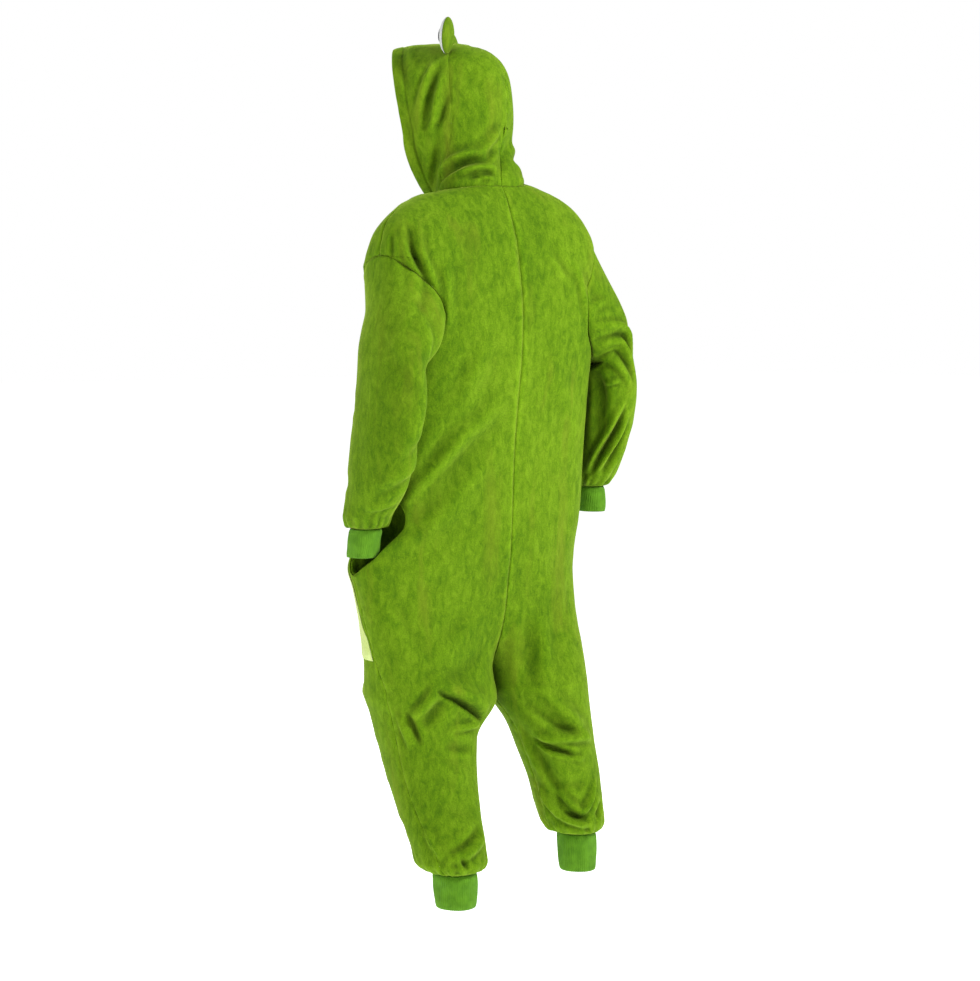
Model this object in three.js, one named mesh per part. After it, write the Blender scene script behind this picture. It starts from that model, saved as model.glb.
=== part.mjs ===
// Frog onesie: a one-piece plush garment with a hood, as it hangs when worn, built as thin cloth walls.
// Millimetres. The tables give heights above the ground, and the group is lowered to the shoulder mount.
// x runs to the wearer's left, y to the wearer's back, z up.
import * as THREE from "three";

const MOUNT_HEIGHT = 1500; // the shoulders that carry the garment, above the ground
const CLOTH_WALL = 2;
const CUFF_WALL = 2.6;
const PATCH_WALL = 1.4;
const SEAM_GAP = 0.3;
const LAYER_GAP = 0.5;
const ARMHOLE_DRAW = 0.25;
const FRONT_STEPS = 11; // columns of a front panel: placket edge, belly, side strip
const BELLY_REACH = 0.985; // the furthest the belly comes towards the side seam, as a share of the way round
const BELLY_COLUMN = 8; // the column of a front panel that follows the belly's outer edge
const BACK_STEPS = 10;
const SLEEVE_SIDES = 20;
// Share of the half neckline that each front hood panel takes. The hood is worn a little twisted.
const HOOD_FRONT_SHARE = { left: 0.42, right: 0.33 };
const BUTTON_RADIUS = 9;
const BUTTON_THICKNESS = 3;
const BUTTON_LEVELS = [1460, 1300, 1130, 950, 760];
const EYE_HOOD_ROW = 8; // the hood row that each eye stands on
const EYE_UPRIGHT = 0.25; // how far an eye leans from square to the hood towards upright
const EYE_WIDTH = 66;
const EYE_HEIGHT = 76;
const EYE_HALF_DEPTH = 9;
const PUPIL_RADIUS = 15;
const PUPIL_THICKNESS = 2;

const VELOUR = { color: 0x69961c, roughness: 0.9, metalness: 0 };
const KNIT = { color: 0x4d9624, roughness: 0.85, metalness: 0 };
const BELLY = { color: 0xb9cd78, roughness: 0.9, metalness: 0 };
const WHITE = { color: 0xe4e6e2, roughness: 0.85, metalness: 0 };
const BLACK = { color: 0x1b1b1a, roughness: 0.7, metalness: 0 };

// Rows of a table as objects with named columns.
function table(columns, rows) {
  return rows.map((row) => Object.fromEntries(columns.map((name, i) => [name, row[i]])));
}

// Torso rings from the crotch zone to the neckline. Half widths left and right, heights of the side, front and
// back of the ring, how far forward and back it reaches, and how square it is (2 is an ellipse).
const TORSO = table(
  ["level", "leftX", "leftZ", "rightX", "rightZ", "middleX", "sideY", "frontY", "frontZ", "backY", "backZ", "square"],
  [
    [499, 252, 499, 248, 499, 0, -8, -120, 499, 62, 499, 2.3],
    [620, 282, 620, 234, 620, 0, -24, -138, 620, 66, 620, 2.3],
    [723, 304, 723, 232, 723, 0, -32, -146, 723, 66, 723, 2.3],
    [765, 314, 765, 233, 765, 0, -36, -150, 765, 69, 765, 2.4],
    [800, 306, 800, 235, 800, 0, -30, -150, 800, 72, 800, 2.4],
    [848, 260, 848, 238, 848, 0, -18, -146, 848, 75, 848, 2.4],
    [880, 247, 880, 239, 880, 0, -14, -142, 880, 77, 880, 2.4],
    [905, 244, 905, 240, 905, 0, -12, -140, 905, 78, 905, 2.4],
    [995, 241, 995, 241, 995, 0, -10, -136, 995, 83, 995, 2.5],
    [1120, 237, 1120, 240, 1120, 0, 0, -138, 1120, 98, 1120, 2.7],
    [1175, 238, 1175, 240, 1180, 0, 6, -138, 1172, 106, 1176, 2.8],
    [1283, 262, 1300, 246, 1312, 2, 14, -136, 1262, 113, 1282, 3.1],
    [1390, 290, 1390, 238, 1440, 8, 17, -122, 1340, 108, 1380, 3.1],
    [1430, 278, 1446, 217, 1478, 11, 17, -112, 1374, 101, 1430, 2.9],
    [1460, 248, 1481, 187, 1507, 14, 14, -103, 1400, 90, 1470, 2.6],
    [1490, 192, 1511, 134, 1532, 15, 8, -95, 1424, 76, 1508, 2.4],
    [1520, 120, 1526, 76, 1549, 16, 2, -88, 1444, 60, 1536, 2.2],
  ],
);

// Leg rings as ellipses, from the ankle seam up into the crotch zone. x and y give the centre.
const LEG_COLUMNS = ["level", "x", "y", "halfX", "halfY"];
const LEG_LEFT = table(LEG_COLUMNS, [
  [152, 151, 78, 41, 43],
  [158, 152, 74, 60, 62],
  [175, 153, 66, 73, 75],
  [205, 153, 56, 76, 77],
  [260, 150, 26, 83, 84],
  [330, 146, -6, 92, 94],
  [400, 142, -28, 103, 103],
  [460, 137, -42, 117, 114],
  [499, 135, -46, 130, 120],
  [600, 141, -46, 140, 124],
  [723, 154, -46, 154, 118],
  [790, 156, -40, 156, 110],
]);
const LEG_RIGHT = table(LEG_COLUMNS, [
  [182, 178, 70, 38, 40],
  [188, 177, 66, 56, 57],
  [204, 176, 60, 68, 68],
  [240, 172, 52, 73, 72],
  [300, 165, 42, 79, 76],
  [360, 154, 30, 86, 82],
  [430, 141, 16, 95, 90],
  [470, 134, 4, 104, 98],
  [499, 127, -4, 114, 104],
  [600, 122, -16, 121, 110],
  [723, 117, -30, 117, 110],
  [790, 117, -32, 117, 108],
]);

// How much of the torso ring, in front and at the back, a level takes. Below the crotch it is all leg.
const RISE = table(["level", "front", "back"], [
  [499, 0, 0],
  [540, 0.2, 0.24],
  [577, 0.42, 0.48],
  [617, 0.65, 0.7],
  [670, 0.86, 0.87],
  [723, 0.96, 0.95],
  [760, 0.99, 0.985],
  [790, 1, 1],
]);

// Where on the half ring (0 centre front, 1 centre back) the sewn edges run at each level.
const EDGES = table(["level", "placket", "belly", "side"], [
  [152, 0.06, 0.4, 0.6],
  [199, 0.06, 0.4, 0.595],
  [264, 0.058, 0.41, 0.565],
  [343, 0.056, 0.42, 0.55],
  [499, 0.055, 0.44, 0.553],
  [577, 0.014, 0.505, 0.515],
  [590, 0.014, 0.5, 0.508],
  [620, 0.014, 0.49, 0.497],
  [645, 0.014, 0.462, 0.488],
  [665, 0.014, 0.45, 0.483],
  [700, 0.014, 0.435, 0.475],
  [750, 0.014, 0.415, 0.47],
  [790, 0.014, 0.365, 0.516],
  [828, 0.014, 0.37, 0.53],
  [870, 0.014, 0.37, 0.54],
  [905, 0.014, 0.38, 0.535],
  [960, 0.014, 0.38, 0.51],
  [1000, 0.014, 0.375, 0.5],
  [1100, 0.014, 0.31, 0.5],
  [1175, 0.014, 0.22, 0.5],
  [1220, 0.014, 0.12, 0.5],
  [1283, 0.014, 0.12, 0.5],
  [1520, 0.03, 0.38, 0.5],
]);

const CROTCH_LEVEL = 499;
const CROTCH_FADE = 95; // how far below the crotch the insides of the legs are still drawn together
const CROTCH_SHARE = 0.75; // where they meet, from the left leg's inside at 0 to the right leg's at 1
const CROTCH_SPREAD = 2.2; // how quickly that fades round the ring
const NECK_LEVEL = 1520;
const BELLY_BOTTOM = 577;
const ARMHOLE = { low: 1175, high: 1390, front: 0.3, back: 0.29 };
const POCKET_LEVELS = [750, 775, 800, 828, 855, 880, 905];
const POCKET_TUCK = 1.6; // how far the bag's rim lies inside the panels
const POCKET_RIM_SCALE = 0.985;
// turnIn is how soon, going down the bag, it reaches its full depth from the panel.
const POCKET_LEFT = { gape: 0.106, depth: 34, fall: 120, thick: 15, turnIn: 3 };
const POCKET_RIGHT = { gape: 0.016, depth: 70, fall: 50, thick: 0, turnIn: 1 };
const LEG_SHARES = [0, 0.02, 0.08, 0.17, 0.29, 0.42, 0.56, 0.7, 0.85];
const RISE_LEVELS = [499, 526, 552, 577, 590, 620, 655, 690, 723];
const CHEST_LEVELS = [950, 1000, 1060, 1120];
const SHOULDER_LEVELS = [1410, 1436, 1462, 1490, 1520];

// Sleeve rings from the armhole to the wrist seam. rise is how much higher the outer point is than the centre.
const SLEEVE_COLUMNS = ["share", "x", "y", "z", "halfX", "halfY", "rise"];
const SLEEVE_LEFT = table(SLEEVE_COLUMNS, [
  [0, 268, 22, 1290, 40, 95, 100],
  [0.14, 282, 52, 1228, 39, 98, 62],
  [0.32, 293, 61, 1145, 46, 98, 26],
  [0.58, 301, 51, 1030, 50, 92, 8],
  [0.8, 305, 29, 938, 49, 80, 0],
  [0.93, 305, -4, 878, 47, 54, 0],
  [0.975, 301, -14, 856, 41, 46, 0],
  [1, 301, -17, 848, 30, 33, 0],
]);
const SLEEVE_RIGHT = table(SLEEVE_COLUMNS, [
  [0, 246, 16, 1310, 32, 95, 120],
  [0.14, 273, 22, 1256, 33, 87, 84],
  [0.32, 287, 23, 1185, 42, 81, 40],
  [0.5, 302, 20, 1118, 51, 80, 10],
  [0.66, 306, 6, 1052, 54, 78, 0],
  [0.8, 303, -8, 990, 52, 70, 0],
  [0.93, 300, -20, 932, 46, 54, 0],
  [0.975, 297, -26, 912, 39, 44, 0],
  [1, 297, -28, 904, 28, 33, 0],
]);
const SLEEVE_SHARES = [0, 0.03, 0.07, 0.12, 0.18, 0.25, 0.33, 0.42, 0.51, 0.6, 0.69, 0.78, 0.87, 0.93, 0.975, 1];
const SLEEVE_EASE_SHARE = 0.24; // share of the sleeve over which the armhole's own outline fades
const SLEEVE_STAND_OFF = 7; // how far the sleeve stands off the body just past the lower armhole

const CUFF_SWELL = table(["share", "scale"], [
  [0, 1],
  [0.14, 1.07],
  [0.55, 1.06],
  [1, 1],
]);
const WRIST_CUFF_LEFT = { length: 58, leanX: 0, leanY: -13 };
const WRIST_CUFF_RIGHT = { length: 54, leanX: 2, leanY: 4 };
const ANKLE_CUFF_LEFT = { length: 70, leanX: 0, leanY: 4 };
const ANKLE_CUFF_RIGHT = { length: 80, leanX: 2, leanY: 2 };

// Hood arches from the face edge (0) to the nape (1), in the head's own axes: forward, aside and up.
// yaw is how far, in degrees, that arch is turned to the wearer's left. A flare below 1 widens it sooner.
const HEAD_AXIS = { x: 37, y: -68 };
const HOOD_COLUMNS = ["share", "topForward", "topZ", "midForward", "midAside", "midZ", "yaw", "flare"];
const HOOD = table(HOOD_COLUMNS, [
  [0, 126, 1824, 88, 96, 1640, 40, 0.45],
  [0.2, 70, 1832, 44, 104, 1660, 40, 0.6],
  [0.4, 8, 1833, -12, 106, 1680, 40, 0.8],
  [0.62, -69, 1815, -62, 92, 1672, 36, 0.9],
  [0.8, -107, 1771, -97, 64, 1655, 30, 1.1],
  [0.92, -119, 1709, -110, 31, 1632, 25, 1.3],
  [1, -121, 1652, -107, 0, 1600, 22, 1.4],
]);
const HOOD_ROWS = [0, 0.1, 0.2, 0.31, 0.42, 0.53, 0.62, 0.71, 0.8, 0.9, 1];

// Main folds. Each runs between two places on a surface, given as place round it and level or share along it.
// deep below zero is a ridge; bow bends the line to one side.
const FOLD_COLUMNS = ["surface", "fromTurn", "fromLevel", "toTurn", "toLevel", "wide", "deep", "bow"];
const FOLDS = table(FOLD_COLUMNS, [
  ["left", 0.93, 1180, 0.62, 930, 26, -7, 10],
  ["left", 0.88, 1060, 0.6, 880, 18, 6, 8],
  ["left", 0.97, 1080, 0.64, 860, 24, -6, -8],
  ["left", 0.78, 1340, 0.7, 1200, 16, 5, 8],
  ["left", 0.64, 478, 0.96, 440, 16, 7, 10],
  ["left", 0.6, 430, 0.9, 420, 15, -6, 8],
  ["left", 0.68, 350, 0.94, 380, 15, 6, 8],
  ["left", 0.62, 230, 0.95, 200, 14, 6, -8],
  ["right", 0.95, 470, 0.55, 425, 18, 8, 14],
  ["right", 0.9, 400, 0.5, 395, 17, -7, 16],
  ["right", 0.95, 350, 0.6, 235, 17, 8, 8],
  ["right", 0.8, 290, 0.5, 255, 13, 7, 12],
  ["left", 0.1, 640, 0.4, 560, 20, 7, 10],
  ["right", 0.1, 640, 0.4, 560, 20, 7, 10],
  ["left", 0.2, 420, 0.42, 380, 16, 6, 8],
  ["right", 0.2, 410, 0.42, 370, 16, 6, 8],
  ["right", 0.08, 980, 0.42, 900, 20, 5, 10],
  ["left", 0.08, 1020, 0.42, 930, 20, 5, 10],
]);
const SLEEVE_FOLDS = table(FOLD_COLUMNS, [
  ["left", 0.12, 0.08, 0.42, 0.16, 16, 6, 8],
  ["left", 0.2, 0.62, 0.5, 0.52, 15, 5, 8],
  ["left", 0.1, 0.8, 0.4, 0.72, 14, 5, 8],
  ["left", 0.6, 0.84, 0.9, 0.78, 14, 5, 8],
  ["right", 0.05, 0.38, 0.42, 0.33, 15, 7, 8],
  ["right", 0.05, 0.5, 0.4, 0.46, 14, 6, -8],
  ["right", 0.1, 0.6, 0.42, 0.82, 17, 7, 8],
  ["right", 0.02, 0.66, 0.3, 0.86, 15, 6, 8],
  ["right", 0.6, 0.5, 0.9, 0.46, 16, 6, 8],
]);
const HOOD_FOLDS = table(FOLD_COLUMNS, [
  ["left", 0.42, 0.08, 0.97, 0.3, 13, 9, -6],
  ["left", 0.6, 0.05, 0.98, 0.16, 11, 7, -4],
  ["left", 0.06, 0.95, 0.12, 0.5, 13, 6, 6],
  ["left", 0.3, 0.9, 0.2, 0.45, 12, 5, 6],
  ["right", 0.42, 0.08, 0.97, 0.3, 13, 8, -6],
  ["right", 0.08, 0.95, 0.14, 0.5, 13, 6, 6],
]);

// Smooth reading of one column between the rows of a table. It never overshoots a row.
function read(rows, key, column, at) {
  const last = rows.length - 1;
  if (at <= rows[0][key]) return rows[0][column];
  if (at >= rows[last][key]) return rows[last][column];
  const slope = (i) => (rows[i + 1][column] - rows[i][column]) / (rows[i + 1][key] - rows[i][key]);
  const tangent = (i) => {
    if (i === 0) return slope(0);
    if (i === last) return slope(last - 1);
    const before = slope(i - 1);
    const after = slope(i);
    return before * after <= 0 ? 0 : (2 * before * after) / (before + after);
  };
  let i = 0;
  while (rows[i + 1][key] < at) i += 1;
  const span = rows[i + 1][key] - rows[i][key];
  const t = (at - rows[i][key]) / span;
  const t2 = t * t;
  const t3 = t2 * t;
  return (
    (2 * t3 - 3 * t2 + 1) * rows[i][column] +
    (t3 - 2 * t2 + t) * span * tangent(i) +
    (3 * t2 - 2 * t3) * rows[i + 1][column] +
    (t3 - t2) * span * tangent(i + 1)
  );
}

const smooth = (t) => {
  const x = Math.min(1, Math.max(0, t));
  return x * x * (3 - 2 * x);
};
const signedPower = (value, power) => Math.sign(value) * Math.pow(Math.abs(value), power);

function torsoPoint(side, turn, level) {
  const get = (column) => read(TORSO, "level", column, level);
  const name = side > 0 ? "left" : "right";
  const power = 2 / get("square");
  const across = signedPower(Math.sin(turn * Math.PI), power);
  const along = signedPower(Math.cos(turn * Math.PI), power);
  const end = along > 0 ? "front" : "back";
  const reach = Math.abs(along);
  const sideY = get("sideY");
  const sideZ = get(name + "Z");
  return new THREE.Vector3(
    get("middleX") * (1 - Math.abs(across)) + side * get(name + "X") * across,
    sideY + (get(end + "Y") - sideY) * reach,
    sideZ + (get(end + "Z") - sideZ) * Math.pow(reach, 1.5),
  );
}

function legRing(side, turn, level) {
  const rows = side > 0 ? LEG_LEFT : LEG_RIGHT;
  const get = (column) => read(rows, "level", column, level);
  const angle = turn * 2 * Math.PI;
  return new THREE.Vector3(
    side * (get("x") - get("halfX") * Math.cos(angle)),
    get("y") - get("halfY") * Math.sin(angle),
    level,
  );
}

// The leg's ring, drawn over at its inside near the crotch, so that the two legs meet there in one line.
function legPoint(side, turn, level) {
  const point = legRing(side, turn, level);
  const near = smooth((level - CROTCH_LEVEL + CROTCH_FADE) / CROTCH_FADE);
  const inside = Math.pow(Math.max(0, Math.cos(turn * 2 * Math.PI)), CROTCH_SPREAD);
  if (near === 0 || inside === 0) return point;
  const meeting = legRing(1, 0, level).lerp(legRing(-1, 0, level), CROTCH_SHARE);
  const drawn = meeting.sub(legRing(side, 0, level)).multiplyScalar(near * inside);
  return point.add(drawn);
}

// The body's plain surface: legs below the crotch, torso above it, blended between.
function bodyBase(side, turn, level) {
  if (level <= CROTCH_LEVEL) return legPoint(side, turn, level);
  const towardsBack = smooth(turn);
  const front = read(RISE, "level", "front", level);
  const back = read(RISE, "level", "back", level);
  const share = front + (back - front) * towardsBack;
  const torso = torsoPoint(side, turn, level);
  return share >= 1 ? torso : legPoint(side, turn, level).lerp(torso, share);
}

function sleeveEllipse(side, angle, share) {
  const rows = side > 0 ? SLEEVE_LEFT : SLEEVE_RIGHT;
  const get = (column) => read(rows, "share", column, share);
  return new THREE.Vector3(
    side * (get("x") + get("halfX") * Math.cos(angle)),
    get("y") + get("halfY") * Math.sin(angle),
    get("z") + get("rise") * Math.cos(angle),
  );
}

// Place on the body of a point of the armhole. Angle 0 is the shoulder tip and a quarter turn is the back.
function armholePlace(angle) {
  const reach = Math.sin(angle) > 0 ? ARMHOLE.back : ARMHOLE.front;
  const middle = (ARMHOLE.low + ARMHOLE.high) / 2;
  return { turn: 0.5 + reach * Math.sin(angle), level: middle + (ARMHOLE.high - middle) * Math.cos(angle) };
}

function sleeveBase(side, angle, share) {
  const plain = sleeveEllipse(side, angle, share);
  const fade = 1 - smooth(share / SLEEVE_EASE_SHARE);
  if (fade === 0) return plain;
  const place = armholePlace(angle);
  const edge = body[side].sample(place.turn, place.level);
  const stand = SLEEVE_STAND_OFF * 2 * fade * (1 - fade) * (1 - Math.cos(angle));
  plain.addScaledVector(edge.normal, stand);
  return plain.add(edge.point.sub(sleeveEllipse(side, angle, 0)).multiplyScalar(fade));
}

// A hood point. Row 0 is the neckline, half a row up is the widest place, row 1 is the centre seam on top.
function hoodBase(side, share, row) {
  const get = (column) => read(HOOD, "share", column, share);
  const yaw = THREE.MathUtils.degToRad(get("yaw"));
  const inHead = (forward, aside, z) =>
    new THREE.Vector3(
      HEAD_AXIS.x + forward * Math.sin(yaw) + aside * Math.cos(yaw),
      HEAD_AXIS.y - forward * Math.cos(yaw) + aside * Math.sin(yaw),
      z,
    );
  const aside = side * get("midAside");
  if (row >= 0.5) {
    const arch = (row - 0.5) * Math.PI;
    const up = signedPower(Math.sin(arch), 0.9);
    return inHead(
      get("midForward") + (get("topForward") - get("midForward")) * up,
      aside * signedPower(Math.cos(arch), 0.8),
      get("midZ") + (get("topZ") - get("midZ")) * up,
    );
  }
  const widest = inHead(get("midForward"), aside, get("midZ"));
  const neck = body[side].point(share, NECK_LEVEL);
  const t = row / 0.5;
  const drift = Math.pow(smooth(t), get("flare"));
  return new THREE.Vector3(
    neck.x + (widest.x - neck.x) * drift,
    neck.y + (widest.y - neck.y) * drift,
    neck.z + (widest.z - neck.z) * t,
  );
}

// A surface with its folds. It gives the point and the outward normal at a place.
function surface(base, step, outward, folds) {
  const across = step.turn;
  const up = step.level;
  const clampTurn = (turn) => Math.min(step.maxTurn, Math.max(step.minTurn, turn));
  const clampLevel = (level) => Math.min(step.maxLevel, Math.max(step.minLevel, level));
  const normalOf = (at, turn, level) => {
    const a = at(clampTurn(turn + across), clampLevel(level));
    const b = at(clampTurn(turn - across), clampLevel(level));
    const c = at(clampTurn(turn), clampLevel(level + up));
    const d = at(clampTurn(turn), clampLevel(level - up));
    return a.sub(b).cross(c.sub(d)).multiplyScalar(outward).normalize();
  };
  const lines = folds.map((fold) => {
    const points = [];
    const start = base(fold.fromTurn, fold.fromLevel);
    const end = base(fold.toTurn, fold.toLevel);
    const length = start.distanceTo(end);
    for (let i = 0; i <= 8; i += 1) {
      const t = i / 8;
      const turn = fold.fromTurn + (fold.toTurn - fold.fromTurn) * t;
      const level = fold.fromLevel + (fold.toLevel - fold.fromLevel) * t;
      const point = base(turn, level);
      point.z -= fold.bow * 4 * t * (1 - t);
      points.push(point);
    }
    return { fold, points, length };
  });
  const pushAt = (point) => {
    let push = 0;
    for (const { fold, points } of lines) {
      let nearest = Infinity;
      let along = 0;
      for (let i = 0; i < points.length - 1; i += 1) {
        const segment = points[i + 1].clone().sub(points[i]);
        const offset = point.clone().sub(points[i]);
        const t = Math.min(1, Math.max(0, offset.dot(segment) / segment.lengthSq()));
        const distance = offset.sub(segment.multiplyScalar(t)).length();
        if (distance < nearest) {
          nearest = distance;
          along = (i + t) / (points.length - 1);
        }
      }
      const taper = Math.sin(Math.PI * Math.min(1, Math.max(0, along)));
      push -= fold.deep * taper * Math.exp(-((nearest / fold.wide) ** 2));
    }
    return push;
  };
  const point = (turn, level) => {
    const plain = base(turn, level);
    const push = pushAt(plain);
    return Math.abs(push) < 1e-3 ? plain : plain.addScaledVector(normalOf(base, turn, level), push);
  };
  const sample = (turn, level) => ({
    point: point(turn, level),
    normal: normalOf(point, turn, level),
  });
  return { point, sample };
}

const onSide = (folds, side) => folds.filter((fold) => fold.surface === (side > 0 ? "left" : "right"));
const body = {};
const sleeve = {};
const hood = {};
for (const side of [1, -1]) {
  const hem = (side > 0 ? LEG_LEFT : LEG_RIGHT)[0].level;
  const bodyStep = { turn: 0.004, level: 1.5, minTurn: -1, maxTurn: 2, minLevel: hem, maxLevel: NECK_LEVEL };
  body[side] = surface((t, l) => bodyBase(side, t, l), bodyStep, side, onSide(FOLDS, side));
  const sleeveStep = { turn: 0.01, level: 0.006, minTurn: -9, maxTurn: 9, minLevel: 0, maxLevel: 1 };
  sleeve[side] = surface(
    (t, l) => sleeveBase(side, t * 2 * Math.PI, l),
    sleeveStep,
    -side,
    onSide(SLEEVE_FOLDS, side),
  );
  const hoodStep = { turn: 0.004, level: 0.004, minTurn: 0.002, maxTurn: 0.998, minLevel: 0, maxLevel: 1 };
  hood[side] = surface((t, l) => hoodBase(side, t, l), hoodStep, side, onSide(HOOD_FOLDS, side));
}

const between = (a, b, t) => a + (b - a) * t;
const meanNormal = (a, b) => a.normal.clone().add(b.normal).normalize();

// Levels of the rows of one side's body panels, from the ankle seam to the neckline.
function bodyLevels(side) {
  const hem = (side > 0 ? LEG_LEFT : LEG_RIGHT)[0].level;
  const leg = LEG_SHARES.map((share) => between(hem, CROTCH_LEVEL, share));
  const arm = [];
  for (let j = SLEEVE_SIDES / 2; j >= 0; j -= 1) arm.push(armholePlace((j / SLEEVE_SIDES) * 2 * Math.PI).level);
  return [...leg, ...RISE_LEVELS, ...POCKET_LEVELS, ...CHEST_LEVELS, ...arm, ...SHOULDER_LEVELS];
}

const pocketOf = (side) => (side > 0 ? POCKET_LEFT : POCKET_RIGHT);

// Where a panel ends at its side: the side seam, opened at the pocket and at the armhole.
function sideEdge(side, level, towards) {
  const seam = read(EDGES, "level", "side", level);
  const first = POCKET_LEVELS[0];
  const last = POCKET_LEVELS[POCKET_LEVELS.length - 1];
  if (level > first && level < last) {
    const swell = Math.pow(Math.sin((Math.PI * (level - first)) / (last - first)), 0.6);
    return seam + towards * pocketOf(side).gape * swell;
  }
  const middle = (ARMHOLE.low + ARMHOLE.high) / 2;
  const height = (level - middle) / (ARMHOLE.high - middle);
  if (Math.abs(height) >= 1) return seam;
  const reach = towards > 0 ? ARMHOLE.back : ARMHOLE.front;
  return 0.5 + towards * reach * Math.sqrt(1 - height * height);
}

function frontTurns(side, level) {
  const edge = sideEdge(side, level, -1);
  const placket = read(EDGES, "level", "placket", level);
  const belly = Math.min(read(EDGES, "level", "belly", level), edge * BELLY_REACH);
  const turns = [0];
  for (let i = 1; i <= FRONT_STEPS; i += 1) {
    if (i <= BELLY_COLUMN) turns.push(between(placket, belly, (i - 1) / (BELLY_COLUMN - 1)));
    else turns.push(between(belly, edge, (i - BELLY_COLUMN) / (FRONT_STEPS - BELLY_COLUMN)));
  }
  return turns;
}

function backTurns(side, level) {
  const edge = sideEdge(side, level, 1);
  const turns = [];
  for (let i = 0; i <= BACK_STEPS; i += 1) turns.push(between(1, edge, i / BACK_STEPS));
  return turns;
}

// Draws the outer columns and rows of a grid in from their seams by half the seam gap. firstRow adds to the
// draw of the first row, for a seam whose two walls lie nearly back to back.
function drawIn(rows, closed, firstRow = 0) {
  const lastRow = rows.length - 1;
  const lastColumn = rows[0].length - 1;
  const pull = (cell, towards, more = 0) => {
    const way = towards.point.clone().sub(cell.point);
    way.addScaledVector(cell.normal, -way.dot(cell.normal));
    return way.normalize().multiplyScalar(SEAM_GAP / 2 + more);
  };
  const moves = [];
  rows.forEach((row, r) =>
    row.forEach((cell, c) => {
      if (r === 0) moves.push([cell, pull(cell, rows[1][c], firstRow)]);
      if (r === lastRow) moves.push([cell, pull(cell, rows[lastRow - 1][c])]);
      if (!closed && c === 0) moves.push([cell, pull(cell, row[1])]);
      if (!closed && c === lastColumn) moves.push([cell, pull(cell, row[lastColumn - 1])]);
    }),
  );
  for (const [cell, move] of moves) cell.point.add(move);
  return rows;
}

// A closed wall over a grid of samples, from lift outside the surface in to lift less the thickness.
function wallGeometry(rows, thickness, { closed = false, lift = 0 } = {}) {
  const rowCount = rows.length;
  const columnCount = rows[0].length;
  const positions = [];
  for (const depth of [lift, lift - thickness]) {
    for (const row of rows) {
      for (const { point, normal } of row) positions.push(...point.clone().addScaledVector(normal, depth).toArray());
    }
  }
  const outer = (r, c) => r * columnCount + (c % columnCount);
  const inner = (r, c) => rowCount * columnCount + outer(r, c);
  const index = [];
  const quad = (a, b, c, d) => index.push(a, b, c, a, c, d);
  const cells = closed ? columnCount : columnCount - 1;
  for (let r = 0; r < rowCount - 1; r += 1) {
    for (let c = 0; c < cells; c += 1) {
      quad(outer(r, c), outer(r, c + 1), outer(r + 1, c + 1), outer(r + 1, c));
      quad(inner(r, c), inner(r + 1, c), inner(r + 1, c + 1), inner(r, c + 1));
    }
  }
  for (let c = 0; c < cells; c += 1) {
    quad(outer(0, c), inner(0, c), inner(0, c + 1), outer(0, c + 1));
    const top = rowCount - 1;
    quad(outer(top, c), outer(top, c + 1), inner(top, c + 1), inner(top, c));
  }
  if (!closed) {
    const end = columnCount - 1;
    for (let r = 0; r < rowCount - 1; r += 1) {
      quad(outer(r, 0), outer(r + 1, 0), inner(r + 1, 0), inner(r, 0));
      quad(outer(r, end), inner(r, end), inner(r + 1, end), outer(r + 1, end));
    }
  }
  return facingOut(positions, index);
}

// Builds the geometry, turned round where its signed volume says that it faces in.
function facingOut(positions, index) {
  const at = (i) => new THREE.Vector3().fromArray(positions, 3 * i);
  let volume = 0;
  for (let i = 0; i < index.length; i += 3) {
    volume += at(index[i]).dot(at(index[i + 1]).cross(at(index[i + 2])));
  }
  if (volume < 0) index.reverse();
  const geometry = new THREE.BufferGeometry();
  geometry.setAttribute("position", new THREE.Float32BufferAttribute(positions, 3));
  geometry.setIndex(index);
  geometry.computeVertexNormals();
  return geometry;
}

const onesie = new THREE.Group();
const worn = new THREE.Group();
worn.position.z = -MOUNT_HEIGHT;
onesie.add(worn);

function addMesh(name, geometry, look) {
  const mesh = new THREE.Mesh(geometry, new THREE.MeshStandardMaterial(look));
  mesh.name = name;
  worn.add(mesh);
  return mesh;
}

const sideName = (side) => (side > 0 ? "left" : "right");

// The shared normal of body and sleeve at a column of the armhole.
function armholeNormal(side, angle) {
  const place = armholePlace(angle);
  return meanNormal(body[side].sample(place.turn, place.level), sleeve[side].sample(angle / (2 * Math.PI), 0));
}

// Grids of the two body panels of one side, with mitred normals where another piece joins at an angle.
function bodyGrid(side, turnsAt, towards) {
  const levels = bodyLevels(side);
  const centreTurn = towards < 0 ? 0 : 1;
  const armStart = levels.findIndex((level) => Math.abs(level - ARMHOLE.low) < 1e-6);
  const rows = levels.map((level) => turnsAt(side, level).map((turn) => body[side].sample(turn, level)));
  for (let j = 0; j <= SLEEVE_SIDES / 2; j += 1) {
    const angle = Math.PI - (j / SLEEVE_SIDES) * 2 * Math.PI;
    const row = rows[armStart + j];
    row[row.length - 1].normal = armholeNormal(side, towards * angle);
  }
  rows.forEach((row, r) => {
    if (levels[r] < CROTCH_LEVEL) return;
    row[0].normal = meanNormal(row[0], body[-side].sample(centreTurn, levels[r]));
  });
  const neck = rows[rows.length - 1];
  turnsAt(side, levels[levels.length - 1]).forEach((turn, i) => {
    neck[i].normal = meanNormal(neck[i], hood[side].sample(turn, 0));
  });
  return rows;
}

// Neckline places that the hood shares with the body.
function neckTurns(side) {
  return [...frontTurns(side, NECK_LEVEL), ...backTurns(side, NECK_LEVEL).reverse().slice(1)];
}

// The neckline place where a hood half's front panel ends, which is also where its eye stands.
function hoodSplit(side) {
  return neckTurns(side).find((turn) => turn > HOOD_FRONT_SHARE[sideName(side)] - 0.02);
}

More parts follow.
